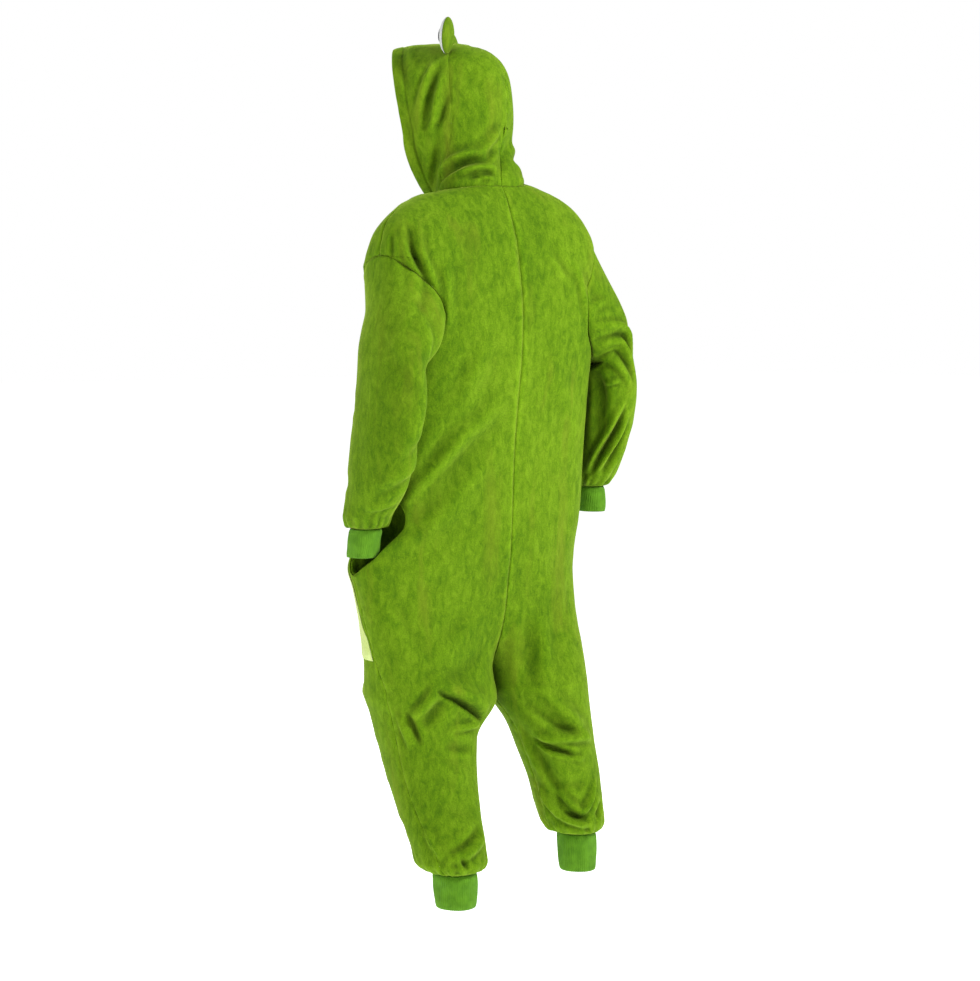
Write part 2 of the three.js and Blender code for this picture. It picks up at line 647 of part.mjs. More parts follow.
// A knitted cuff: a tube on from the last ring of a sleeve or leg.
function cuffRows(ring, shape, side) {
  const centre = new THREE.Vector3();
  ring.forEach((cell) => centre.addScaledVector(cell.point, 1 / ring.length));
  return [0, 0.14, 0.4, 0.7, 1].map((share) => {
    const scale = read(CUFF_SWELL, "share", "scale", share);
    const shift = new THREE.Vector3(side * shape.leanX, shape.leanY, -shape.length).multiplyScalar(share);
    return ring.map((cell) => {
      const out = cell.point.clone().sub(centre);
      const normal = new THREE.Vector3(out.x, out.y, 0).normalize();
      const mitred = share === 0 ? normal.clone().add(cell.normal).normalize() : normal;
      return { point: centre.clone().addScaledVector(out, scale).add(shift), normal: mitred };
    });
  });
}

// A pocket bag: from the slit's rim inwards and down to a closed end.
function pocketRows(side) {
  const shape = pocketOf(side);
  const rim = [];
  for (const level of POCKET_LEVELS) rim.push(body[side].sample(sideEdge(side, level, -1), level));
  for (const level of [...POCKET_LEVELS].reverse().slice(1, -1)) {
    rim.push(body[side].sample(sideEdge(side, level, 1), level));
  }
  const centre = new THREE.Vector3();
  rim.forEach((cell) => centre.addScaledVector(cell.point, 1 / rim.length));
  const rows = [0, 0.12, 0.35, 0.6, 0.82, 0.96].map((share) => {
    const scale = POCKET_RIM_SCALE - 0.12 * share - 0.5 * smooth((share - 0.7) / 0.3);
    const drop = shape.fall * smooth(share);
    return rim.map((cell, i) => {
      const way = cell.point.clone().sub(centre).multiplyScalar(scale);
      const half = share * shape.thick * Math.sin((2 * Math.PI * i) / rim.length);
      const inset = CLOTH_WALL + POCKET_TUCK + shape.depth * Math.min(1, share * shape.turnIn);
      const point = centre.clone().add(way);
      point.x -= side * (inset + half + 0.55 * Math.max(0, side * way.x) * share);
      point.y -= share * 26;
      point.z -= drop;
      return { point };
    });
  });
  return rows;
}

// A tube of rows closed at its last row by an inner and an outer cap, with its wall inside the given rows.
function pouchGeometry(rows, thickness) {
  const count = rows[0].length;
  const centres = rows.map((row) => {
    const centre = new THREE.Vector3();
    row.forEach((cell) => centre.addScaledVector(cell.point, 1 / count));
    return centre;
  });
  const positions = [];
  rows.forEach((row) => row.forEach((cell) => positions.push(...cell.point.toArray())));
  rows.forEach((row, r) =>
    row.forEach((cell, c) => {
      const before = row[(c + count - 1) % count].point;
      const after = row[(c + 1) % count].point;
      const along = after.clone().sub(before);
      const next = rows[Math.min(r + 1, rows.length - 1)][c].point;
      const last = rows[Math.max(r - 1, 0)][c].point;
      const inward = along.cross(next.clone().sub(last)).normalize();
      if (inward.dot(centres[r].clone().sub(cell.point)) < 0) inward.negate();
      positions.push(...cell.point.clone().addScaledVector(inward, thickness).toArray());
    }),
  );
  const total = rows.length * count;
  const end = centres[centres.length - 1];
  const fall = end.clone().sub(centres[centres.length - 2]).normalize();
  positions.push(...end.clone().addScaledVector(fall, thickness).toArray(), ...end.toArray());
  const index = [];
  const outer = (r, c) => r * count + (c % count);
  const inner = (r, c) => total + outer(r, c);
  const quad = (a, b, c, d) => index.push(a, b, c, a, c, d);
  for (let r = 0; r < rows.length - 1; r += 1) {
    for (let c = 0; c < count; c += 1) {
      quad(outer(r, c), outer(r, c + 1), outer(r + 1, c + 1), outer(r + 1, c));
      quad(inner(r, c), inner(r + 1, c), inner(r + 1, c + 1), inner(r, c + 1));
    }
  }
  const top = rows.length - 1;
  for (let c = 0; c < count; c += 1) {
    quad(outer(0, c + 1), outer(0, c), inner(0, c), inner(0, c + 1));
    index.push(outer(top, c), outer(top, c + 1), 2 * total);
    index.push(inner(top, c + 1), inner(top, c), 2 * total + 1);
  }
  return facingOut(positions, index);
}

for (const side of [1, -1]) {
  const name = sideName(side);
  const frontRows = bodyGrid(side, frontTurns, -1);
  const backRows = bodyGrid(side, backTurns, 1);
  const ankleRing = [...frontRows[0], ...[...backRows[0]].reverse().slice(1, -1)].map((cell) => ({
    point: cell.point.clone(),
    normal: cell.normal,
  }));
  const ankleShape = side > 0 ? ANKLE_CUFF_LEFT : ANKLE_CUFF_RIGHT;
  const ankle = cuffRows(ankleRing, ankleShape, side);
  ankle[0].forEach((cell, i) => {
    ankleRing[i].normal.copy(cell.normal);
  });
  backRows[0][BACK_STEPS].normal.copy(frontRows[0][FRONT_STEPS].normal);
  backRows[0][0].normal.copy(frontRows[0][0].normal);

  const levels = bodyLevels(side);
  const bellyStart = levels.indexOf(BELLY_BOTTOM);
  const bellyEnd = levels.findIndex((level) => level > ARMHOLE.low) + 2;
  const belly = frontRows.slice(bellyStart, bellyEnd + 1).map((row) =>
    row.slice(1, BELLY_COLUMN + 1).map((cell) => ({ point: cell.point.clone(), normal: cell.normal })),
  );
  addMesh("belly_" + name, wallGeometry(drawIn(belly, false), PATCH_WALL, { lift: PATCH_WALL + LAYER_GAP }), BELLY);
  addMesh("front_" + name, wallGeometry(drawIn(frontRows, false), CLOTH_WALL), VELOUR);
  addMesh("back_" + name, wallGeometry(drawIn(backRows, false), CLOTH_WALL), VELOUR);
  addMesh("ankle_cuff_" + name, wallGeometry(drawIn(ankle, true), CUFF_WALL, { closed: true }), KNIT);

  const sleeveRows = SLEEVE_SHARES.map((share) => {
    const row = [];
    for (let j = 0; j < SLEEVE_SIDES; j += 1) row.push(sleeve[side].sample(j / SLEEVE_SIDES, share));
    return row;
  });
  sleeveRows[0].forEach((cell, j) => {
    cell.normal = armholeNormal(side, (j / SLEEVE_SIDES) * 2 * Math.PI);
  });
  const wristRing = sleeveRows[sleeveRows.length - 1];
  const wrist = cuffRows(wristRing, side > 0 ? WRIST_CUFF_LEFT : WRIST_CUFF_RIGHT, side);
  wristRing.forEach((cell, j) => cell.normal.copy(wrist[0][j].normal));
  addMesh("sleeve_" + name, wallGeometry(drawIn(sleeveRows, true, ARMHOLE_DRAW), CLOTH_WALL, { closed: true }), VELOUR);
  addMesh("wrist_cuff_" + name, wallGeometry(drawIn(wrist, true), CUFF_WALL, { closed: true }), KNIT);

  addMesh("pocket_" + name, pouchGeometry(pocketRows(side), CLOTH_WALL), VELOUR);
}

// Hood panels, on the neckline's own places. Each half's front panel ends at the seam that holds the eye.
for (const side of [1, -1]) {
  const turns = neckTurns(side);
  const split = turns.indexOf(hoodSplit(side));
  const rows = HOOD_ROWS.map((row) => turns.map((turn) => hood[side].sample(turn, row)));
  rows[0].forEach((cell, i) => {
    cell.normal = meanNormal(cell, body[side].sample(turns[i], NECK_LEVEL));
  });
  rows.forEach((row, r) => {
    row[row.length - 1].normal = meanNormal(row[row.length - 1], hood[-side].sample(1, HOOD_ROWS[r]));
  });
  rows[rows.length - 1].forEach((cell, i) => {
    cell.normal = meanNormal(cell, hood[-side].sample(turns[i], 1));
  });
  const copy = (cells) => cells.map((cell) => ({ point: cell.point.clone(), normal: cell.normal }));
  const front = rows.map((row) => copy(row.slice(0, split + 1)));
  const back = rows.map((row) => copy(row.slice(split)));
  addMesh("hood_front_" + sideName(side), wallGeometry(drawIn(front, false), CLOTH_WALL), VELOUR);
  addMesh("hood_back_" + sideName(side), wallGeometry(drawIn(back, false), CLOTH_WALL), VELOUR);
}

// The button strip over the centre front, from the belly's bottom edge to just under the neckline.
const stripLevels = bodyLevels(1).filter((level) => level >= BELLY_BOTTOM && level < NECK_LEVEL);
const strip = stripLevels.map((level) => {
  const edge = read(EDGES, "level", "placket", level);
  const middle = body[1].sample(0, level);
  middle.normal = meanNormal(middle, body[-1].sample(0, level));
  return [body[-1].sample(edge, level), middle, body[1].sample(edge, level)];
});
const stripLift = LAYER_GAP + CLOTH_WALL;
addMesh("placket", wallGeometry(drawIn(strip, false), CLOTH_WALL, { lift: stripLift }), VELOUR);

BUTTON_LEVELS.forEach((level, i) => {
  const r = stripLevels.findIndex((value) => value > level) - 1;
  const low = strip[r][1];
  const high = strip[r + 1][1];
  const normal = meanNormal(low, high);
  const lift = stripLift + LAYER_GAP + BUTTON_THICKNESS / 2;
  const button = addMesh(
    "button_" + (i + 1),
    new THREE.CylinderGeometry(BUTTON_RADIUS, BUTTON_RADIUS, BUTTON_THICKNESS, 12),
    KNIT,
  );
  button.position.copy(low.point).lerp(high.point, 0.5).addScaledVector(normal, lift);
  button.quaternion.setFromUnitVectors(new THREE.Vector3(0, 1, 0), normal);
});

// One half of a padded eye: a lens with a flat back and a flat place in the middle of its front.
function eyeHalf(depth) {
  const rim = 1;
  const flat = 0.5;
  const profile = [new THREE.Vector2(0, 0), new THREE.Vector2(rim, 0), new THREE.Vector2(rim, depth * 0.12)];
  for (let i = 1; i <= 4; i += 1) {
    const angle = (i / 4) * (Math.PI / 2);
    profile.push(new THREE.Vector2(flat + (rim - flat) * Math.cos(angle), depth * (0.12 + 0.88 * Math.sin(angle))));
  }
  profile.push(new THREE.Vector2(0, depth));
  return new THREE.LatheGeometry(profile, 16);
}

for (const side of [1, -1]) {
  const name = sideName(side);
  const turn = hoodSplit(side);
  const seat = hood[side].sample(turn, HOOD_ROWS[EYE_HOOD_ROW]);
  const yaw = THREE.MathUtils.degToRad(read(HOOD, "share", "yaw", turn));
  const forward = new THREE.Vector3(Math.sin(yaw), -Math.cos(yaw), 0);
  const up = seat.normal.clone().lerp(new THREE.Vector3(0, 0, 1), EYE_UPRIGHT).normalize();
  const facing = forward.addScaledVector(up, -forward.dot(up)).normalize();
  const aside = new THREE.Vector3().crossVectors(facing, up);
  const eye = new THREE.Group();
  eye.quaternion.setFromRotationMatrix(new THREE.Matrix4().makeBasis(aside, facing, up));
  eye.position.copy(seat.point).addScaledVector(up, LAYER_GAP + EYE_HEIGHT / 2);
  worn.add(eye);
  const place = (mesh, y) => {
    eye.add(mesh);
    mesh.position.y = y;
    return mesh;
  };
  const wide = EYE_WIDTH / 2;
  const high = EYE_HEIGHT / 2;
  const front = place(addMesh("eye_front_" + name, eyeHalf(EYE_HALF_DEPTH), WHITE), SEAM_GAP / 2);
  front.scale.set(wide, 1, high);
  const back = place(addMesh("eye_back_" + name, eyeHalf(EYE_HALF_DEPTH), VELOUR), -SEAM_GAP / 2);
  back.scale.set(wide, 1, high);
  back.rotation.x = Math.PI;
  const pupilShape = new THREE.CylinderGeometry(PUPIL_RADIUS, PUPIL_RADIUS, PUPIL_THICKNESS, 12);
  place(addMesh("pupil_" + name, pupilShape, BLACK), EYE_HALF_DEPTH + LAYER_GAP + PUPIL_THICKNESS / 2);
}

export default onesie;
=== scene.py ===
# Frog onesie, dressed: soft velour panels with their folds, knitted cuffs, padded eyes and buttons.
# The tables are in millimetres above the ground. Everything that is built is in metres in the part's frame.
# x runs to the garment's left, y to its back, z up.
import math

import bpy
import numpy as np
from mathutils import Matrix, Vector


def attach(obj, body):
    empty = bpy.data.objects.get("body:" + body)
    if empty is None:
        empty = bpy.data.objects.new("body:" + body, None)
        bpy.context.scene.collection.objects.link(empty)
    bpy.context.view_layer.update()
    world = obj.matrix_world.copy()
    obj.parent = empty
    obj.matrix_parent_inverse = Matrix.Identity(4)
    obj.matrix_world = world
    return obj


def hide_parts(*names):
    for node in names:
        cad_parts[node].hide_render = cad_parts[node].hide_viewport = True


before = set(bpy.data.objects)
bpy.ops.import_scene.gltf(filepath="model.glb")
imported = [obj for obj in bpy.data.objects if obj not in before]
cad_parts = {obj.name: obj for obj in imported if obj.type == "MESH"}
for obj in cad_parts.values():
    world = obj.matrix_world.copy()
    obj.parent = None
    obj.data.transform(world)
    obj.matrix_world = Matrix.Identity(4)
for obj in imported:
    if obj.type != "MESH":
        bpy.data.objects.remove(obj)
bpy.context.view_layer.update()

MOUNT_HEIGHT = 1500
MM = 0.001
CLOTH_WALL = 2.0
CUFF_WALL = 2.6
PATCH_WALL = 1.4
LAYER_GAP = 0.5
CLOTH_STEP = 4.2  # spacing of the cloth's mesh
ANKLE_RIBS = 58
WRIST_RIBS = 50
ANKLE_COLUMNS = 348  # points round a cuff
WRIST_COLUMNS = 290
FOLD_DEPTH = 1.4  # how much deeper than its table row each fold is made
SEAM_DIP = 1.5  # how deep and how wide the cloth dips at a seam
SEAM_REACH = 3.4
PUCKER_DEPTH = 0.9
PUCKER_REACH = 16.0
BUTTON_LEVELS = [1460, 1300, 1130, 950, 760]
EYE_WIDTH = 66
EYE_HEIGHT = 76
EYE_HALF_DEPTH = 9
EYE_ROW = 0.8
EYE_TURN = 10  # degrees that the stuffed eyes are twisted back from the way the hood faces
EYE_FRONT_FULLNESS = 1.35  # how much fuller the white half is stuffed
EYE_UPRIGHT = 0.25
PUPIL_RADIUS = 15
PUPIL_THICKNESS = 2
FACE_HEM = 22  # how far from the hood's open edge its hem is stitched
HOOD_LAP = 1.8  # how far each half of the hood laps over the middle
HOOD_LAP_REACH = 3
NECK_TUCK = 5  # how far the hood's lower edge goes down inside the neckline
NECK_TUCK_SHARE = 0.05  # the share of the hood's height in which it is drawn down
HEM_STITCH_DEPTH = 0.9
HEM_FULLNESS = 1.2  # how much the doubled hem stands out
SLEEVE_LENGTH = {1: 470, -1: 430}
ANKLE_GATHERS = {"count": 17, "depth": 3.0, "reach": 26}
SLEEVE_GATHERS = {"count": 15, "depth": 3.0, "reach": 24}
BODY_SEED = 11
SLEEVE_SEED = 31
HOOD_SEED = 51
CUFF_SEED = 61
STRIP_SEED = 71
HOOD_SPLIT = {1: 0.42, -1: 0.33}
NECK_LEVEL = 1520
CROTCH_LEVEL = 499
CROTCH_FADE = 95  # how far below the crotch the insides of the legs are still drawn together
CROTCH_SHARE = 0.75  # where they meet, from the left leg's inside at 0 to the right leg's at 1
CROTCH_SPREAD = 2.2  # how quickly that fades round the ring
BELLY_BOTTOM = 577
BELLY_REACH = 0.985  # the furthest the belly comes towards the side seam, as a share of the way round
BELLY_TOP = 1219
ARMHOLE_LOW = 1175
ARMHOLE_HIGH = 1390
ARMHOLE_FRONT = 0.3
ARMHOLE_BACK = 0.29
SLEEVE_EASE_SHARE = 0.24
SLEEVE_STAND_OFF = 7
HOOD_AXIS = (37, -68)
POCKET_LOW = 750
POCKET_HIGH = 905
POCKET_TUCK = 1.6
POCKET_RIM_SCALE = 0.985
POCKET_NARROWING = 0.12  # how much narrower its bag gets on the way down, and at its closed end
POCKET_CLOSING = 0.5
POCKET_FORWARD = 26
POCKETS = {
    1: {"gape": 0.106, "depth": 34, "fall": 120, "thick": 15, "turn_in": 3},
    -1: {"gape": 0.016, "depth": 70, "fall": 50, "thick": 0, "turn_in": 1},
}
SIDES = (1, -1)
SIDE_NAME = {1: "left", -1: "right"}
VIEW_TURN = math.radians(142)  # the camera's place round the garment, 0 in front and 90 at its left
CAMERA_DISTANCE = 4.130
CAMERA_HEIGHT = 1.243  # above the ground
CAMERA_TILT = math.radians(3.20)
CAMERA_LENS = 73.19
CAMERA_SHIFT = -0.05
LIGHT_AIM = (0, 0, -0.55)
FLOOR_SIZE = 80


def table(columns, rows):
    """Rows of a table as one array for each named column."""
    return {name: np.array([row[i] for row in rows], float) for i, name in enumerate(columns)}


# Torso rings: half widths left and right, heights of the side, front and back of the ring, how far forward
# and back it reaches, and how square it is (2 is an ellipse).
TORSO = table(
    ["level", "leftX", "leftZ", "rightX", "rightZ", "middleX", "sideY", "frontY", "frontZ",
     "backY", "backZ", "square"],
    [
        [499, 252, 499, 248, 499, 0, -8, -120, 499, 62, 499, 2.3],
        [620, 282, 620, 234, 620, 0, -24, -138, 620, 66, 620, 2.3],
        [723, 304, 723, 232, 723, 0, -32, -146, 723, 66, 723, 2.3],
        [765, 314, 765, 233, 765, 0, -36, -150, 765, 69, 765, 2.4],
        [800, 306, 800, 235, 800, 0, -30, -150, 800, 72, 800, 2.4],
        [848, 260, 848, 238, 848, 0, -18, -146, 848, 75, 848, 2.4],
        [880, 247, 880, 239, 880, 0, -14, -142, 880, 77, 880, 2.4],
        [905, 244, 905, 240, 905, 0, -12, -140, 905, 78, 905, 2.4],
        [995, 241, 995, 241, 995, 0, -10, -136, 995, 83, 995, 2.5],
        [1120, 237, 1120, 240, 1120, 0, 0, -138, 1120, 98, 1120, 2.7],
        [1175, 238, 1175, 240, 1180, 0, 6, -138, 1172, 106, 1176, 2.8],
        [1283, 262, 1300, 246, 1312, 2, 14, -136, 1262, 113, 1282, 3.1],
        [1390, 290, 1390, 238, 1440, 8, 17, -122, 1340, 108, 1380, 3.1],
        [1430, 278, 1446, 217, 1478, 11, 17, -112, 1374, 101, 1430, 2.9],
        [1460, 248, 1481, 187, 1507, 14, 14, -103, 1400, 90, 1470, 2.6],
        [1490, 192, 1511, 134, 1532, 15, 8, -95, 1424, 76, 1508, 2.4],
        [1520, 120, 1526, 76, 1549, 16, 2, -88, 1444, 60, 1536, 2.2],
    ],
)

# Leg rings as ellipses, from the ankle seam up into the crotch zone. x and y give the centre.
LEG_COLUMNS = ["level", "x", "y", "halfX", "halfY"]
LEGS = {
    1: table(LEG_COLUMNS, [
        [152, 151, 78, 41, 43],
        [158, 152, 74, 60, 62],
        [175, 153, 66, 73, 75],
        [205, 153, 56, 76, 77],
        [260, 150, 26, 83, 84],
        [330, 146, -6, 92, 94],
        [400, 142, -28, 103, 103],
        [460, 137, -42, 117, 114],
        [499, 135, -46, 130, 120],
        [600, 141, -46, 140, 124],
        [723, 154, -46, 154, 118],
        [790, 156, -40, 156, 110],
    ]),
    -1: table(LEG_COLUMNS, [
        [182, 178, 70, 38, 40],
        [188, 177, 66, 56, 57],
        [204, 176, 60, 68, 68],
        [240, 172, 52, 73, 72],
        [300, 165, 42, 79, 76],
        [360, 154, 30, 86, 82],
        [430, 141, 16, 95, 90],
        [470, 134, 4, 104, 98],
        [499, 127, -4, 114, 104],
        [600, 122, -16, 121, 110],
        [723, 117, -30, 117, 110],
        [790, 117, -32, 117, 108],
    ]),
}

# How much of the torso ring, in front and at the back, a level takes. Below the crotch it is all leg.
RISE = table(["level", "front", "back"], [
    [499, 0, 0],
    [540, 0.2, 0.24],
    [577, 0.42, 0.48],
    [617, 0.65, 0.7],
    [670, 0.86, 0.87],
    [723, 0.96, 0.95],
    [760, 0.99, 0.985],
    [790, 1, 1],
])

# Where on the half ring (0 centre front, 1 centre back) the sewn edges run at each level.
EDGES = table(["level", "placket", "belly", "side"], [
    [152, 0.06, 0.4, 0.6],
    [199, 0.06, 0.4, 0.595],
    [264, 0.058, 0.41, 0.565],
    [343, 0.056, 0.42, 0.55],
    [499, 0.055, 0.44, 0.553],
    [577, 0.014, 0.505, 0.515],
    [590, 0.014, 0.5, 0.508],
    [620, 0.014, 0.49, 0.497],
    [645, 0.014, 0.462, 0.488],
    [665, 0.014, 0.45, 0.483],
    [700, 0.014, 0.435, 0.475],
    [750, 0.014, 0.415, 0.47],
    [790, 0.014, 0.365, 0.516],
    [828, 0.014, 0.37, 0.53],
    [870, 0.014, 0.37, 0.54],
    [905, 0.014, 0.38, 0.535],
    [960, 0.014, 0.38, 0.51],
    [1000, 0.014, 0.375, 0.5],
    [1100, 0.014, 0.31, 0.5],
    [1175, 0.014, 0.22, 0.5],
    [1220, 0.014, 0.12, 0.5],
    [1283, 0.014, 0.12, 0.5],
    [1520, 0.03, 0.38, 0.5],
])

# Sleeve rings from the armhole to the wrist seam. rise is how much higher the outer point is than the centre.
SLEEVE_COLUMNS = ["share", "x", "y", "z", "halfX", "halfY", "rise"]
SLEEVES = {
    1: table(SLEEVE_COLUMNS, [
        [0, 268, 22, 1290, 40, 95, 100],
        [0.14, 282, 52, 1228, 39, 98, 62],
        [0.32, 293, 61, 1145, 46, 98, 26],
        [0.58, 301, 51, 1030, 50, 92, 8],
        [0.8, 305, 29, 938, 49, 80, 0],
        [0.93, 305, -4, 878, 47, 54, 0],
        [0.975, 301, -14, 856, 41, 46, 0],
        [1, 301, -17, 848, 30, 33, 0],
    ]),
    -1: table(SLEEVE_COLUMNS, [
        [0, 246, 16, 1310, 32, 95, 120],
        [0.14, 273, 22, 1256, 33, 87, 84],
        [0.32, 287, 23, 1185, 42, 81, 40],
        [0.5, 302, 20, 1118, 51, 80, 10],
        [0.66, 306, 6, 1052, 54, 78, 0],
        [0.8, 303, -8, 990, 52, 70, 0],
        [0.93, 300, -20, 932, 46, 54, 0],
        [0.975, 297, -26, 912, 39, 44, 0],
        [1, 297, -28, 904, 28, 33, 0],
    ]),
}

CUFF_SWELL = table(["share", "scale"], [
    [0, 1],
    [0.14, 1.07],
    [0.55, 1.06],
    [1, 1],
])
WRIST_CUFFS = {1: (58, 0, -13), -1: (54, 2, 4)}
ANKLE_CUFFS = {1: (70, 0, 4), -1: (80, 2, 2)}

# Hood arches from the open edge (0) to the nape (1), in the hood's own axes: forward, aside and up.
# yaw is how far, in degrees, that arch is turned to the garment's left. A flare below 1 widens it sooner.
HOOD = table(["share", "topForward", "topZ", "midForward", "midAside", "midZ", "yaw", "flare"], [
    [0, 126, 1824, 88, 96, 1640, 40, 0.45],
    [0.2, 70, 1832, 44, 104, 1660, 40, 0.6],
    [0.4, 8, 1833, -12, 106, 1680, 40, 0.8],
    [0.62, -69, 1815, -62, 92, 1672, 36, 0.9],
    [0.8, -107, 1771, -97, 64, 1655, 30, 1.1],
    [0.92, -119, 1709, -110, 31, 1632, 25, 1.3],
    [1, -121, 1652, -107, 0, 1600, 22, 1.4],
])

# Folds of the cloth. Each runs between two places on a surface, given as place round it and level or share
# along it. deep below zero is a ridge, bow bends the line downwards in its middle, and sharp below 1 makes
# the flank on its lower side steeper.
FOLD_COLUMNS = ["turn1", "level1", "turn2", "level2", "wide", "deep", "bow", "sharp"]
BODY_FOLDS = {
    1: [
        # The drag from between the shoulders down to the pocket.
        (0.93, 1225, 0.67, 950, 24, -8, 24, 0.7),
        (0.87, 1150, 0.66, 918, 20, 8, 12, 0.8),
        (0.99, 1119, 0.56, 866, 22, -7, 10, 0.7),
        (0.97, 1060, 0.62, 866, 20, 6, 8, 0.8),
        (0.99, 1010, 0.72, 850, 20, -4, 10, 0.7),
        (0.93, 930, 0.66, 800, 26, -4, 6, 0.7),
        (0.86, 860, 0.66, 765, 26, 4, 4, 0.8),
        # Near the armhole.
        (0.65, 1443, 0.75, 1330, 10, 7, -14, 0.7),
        (0.64, 1415, 0.735, 1345, 8, -5, 0, 0.8),
        (0.70, 1450, 0.79, 1290, 9, -5, -10, 0.8),
        (0.56, 1424, 0.58, 1386, 7, 4, 0, 0.8),
        (0.84, 1390, 0.79, 1230, 13, -4, 6, 0.7),
        # Seat and thigh.
        (0.95, 660, 0.72, 590, 26, -4, 12, 0.8),
        (0.93, 590, 0.72, 545, 20, 4, 10, 0.8),
        (0.66, 720, 0.74, 580, 20, 4, 6, 0.8),
        # The sharp fold over the back of the knee.
        (0.685, 523, 0.865, 438, 8, 12, 0, 0.6),
        (0.68, 547, 0.87, 462, 17, -9, 0, 0.7),
        (0.70, 528, 0.615, 462, 13, -8, 0, 0.6),
        (0.715, 505, 0.64, 446, 15, 7, 0, 0.8),
        (0.73, 439, 0.845, 437, 8, -6, 0, 0.6),
        (0.70, 410, 0.82, 392, 12, 5, 2, 0.7),
        (0.600, 478, 0.632, 408, 8, 7, 0, 0.6),
        (0.575, 470, 0.600, 400, 9, -6, 0, 0.6),
        (0.66, 380, 0.80, 330, 20, -3, 6, 0.8),
        (0.64, 300, 0.82, 270, 18, 3, 8, 0.8),
        # The overhang above the ankle.
        (0.635, 188, 0.87, 228, 10, -7, 8, 0.7),
        (0.655, 206, 0.83, 246, 9, 5, 8, 0.7),
        (0.69, 200, 0.725, 166, 7, 6, 0, 0.7),
        (0.58, 250, 0.62, 190, 9, -5, 4, 0.7),
        # Hidden front.
        (0.10, 640, 0.40, 560, 20, 6, 10, 0.7),
        (0.12, 560, 0.42, 500, 16, -5, 8, 0.7),
        (0.20, 420, 0.42, 380, 15, 6, 8, 0.7),
        (0.16, 350, 0.40, 320, 14, -5, 8, 0.7),
        (0.10, 260, 0.44, 235, 13, 5, 8, 0.7),
        (0.08, 1020, 0.40, 930, 20, 4, 10, 0.8),
        (0.10, 900, 0.30, 810, 22, -4, 8, 0.8),
        (0.14, 1330, 0.21, 1230, 12, 4, 6, 0.7),
        (0.20, 1400, 0.24, 1290, 10, -3.5, 4, 0.7),
    ],
    -1: [
        (0.95, 1180, 0.72, 1010, 30, -4, 10, 0.8),
        (0.97, 980, 0.70, 900, 30, 3, 14, 0.9),
        (0.84, 1390, 0.78, 1240, 12, -4, 6, 0.7),
        (0.76, 1360, 0.73, 1220, 11, 4, 6, 0.7),
        (0.93, 1420, 0.86, 1350, 12, 3, 6, 0.8),
        (0.96, 760, 0.74, 690, 26, -3, 12, 0.8),
        (0.88, 660, 0.80, 500, 20, -5, 0, 0.8),
        (0.93, 650, 0.86, 500, 18, 5, 0, 0.8),
        # Round the knee.
        (0.84, 505, 0.69, 386, 16, -9, 10, 0.6),
        (0.90, 470, 0.76, 398, 13, 7, 6, 0.7),
        (0.91, 392, 0.67, 382, 12, -10, -4, 0.6),
        (0.945, 390, 0.74, 352, 8, 11, 5, 0.6),
        (0.80, 366, 0.745, 340, 9, -5, 0, 0.7),
        (0.97, 420, 0.865, 236, 15, 9, 0, 0.7),
        (0.90, 300, 0.74, 292, 12, 4, 4, 0.8),
        # The swags above the ankle.
        (0.995, 290, 0.91, 224, 10, -9, 4, 0.6),
        (0.93, 232, 0.76, 206, 9, -9, 6, 0.6),
        (0.90, 282, 0.79, 230, 8, -7, 4, 0.6),
        (0.80, 230, 0.69, 300, 8, -7, 10, 0.6),
        (0.885, 238, 0.78, 220, 6, 8, 4, 0.8),
        (0.73, 222, 0.66, 250, 8, 6, 6, 0.8),
        # Hidden front.
        (0.10, 640, 0.40, 560, 20, 6, 10, 0.7),
        (0.12, 560, 0.42, 500, 16, -5, 8, 0.7),
        (0.20, 410, 0.42, 370, 15, 6, 8, 0.7),
        (0.14, 350, 0.40, 310, 14, -5, 8, 0.7),
        (0.10, 280, 0.44, 250, 13, 5, 8, 0.7),
        (0.08, 980, 0.42, 900, 20, 4, 10, 0.8),
        (0.10, 880, 0.30, 800, 22, -4, 8, 0.8),
        (0.14, 1330, 0.21, 1230, 12, 4, 6, 0.7),
        (0.20, 1400, 0.24, 1290, 10, -3.5, 4, 0.7),
    ],
}
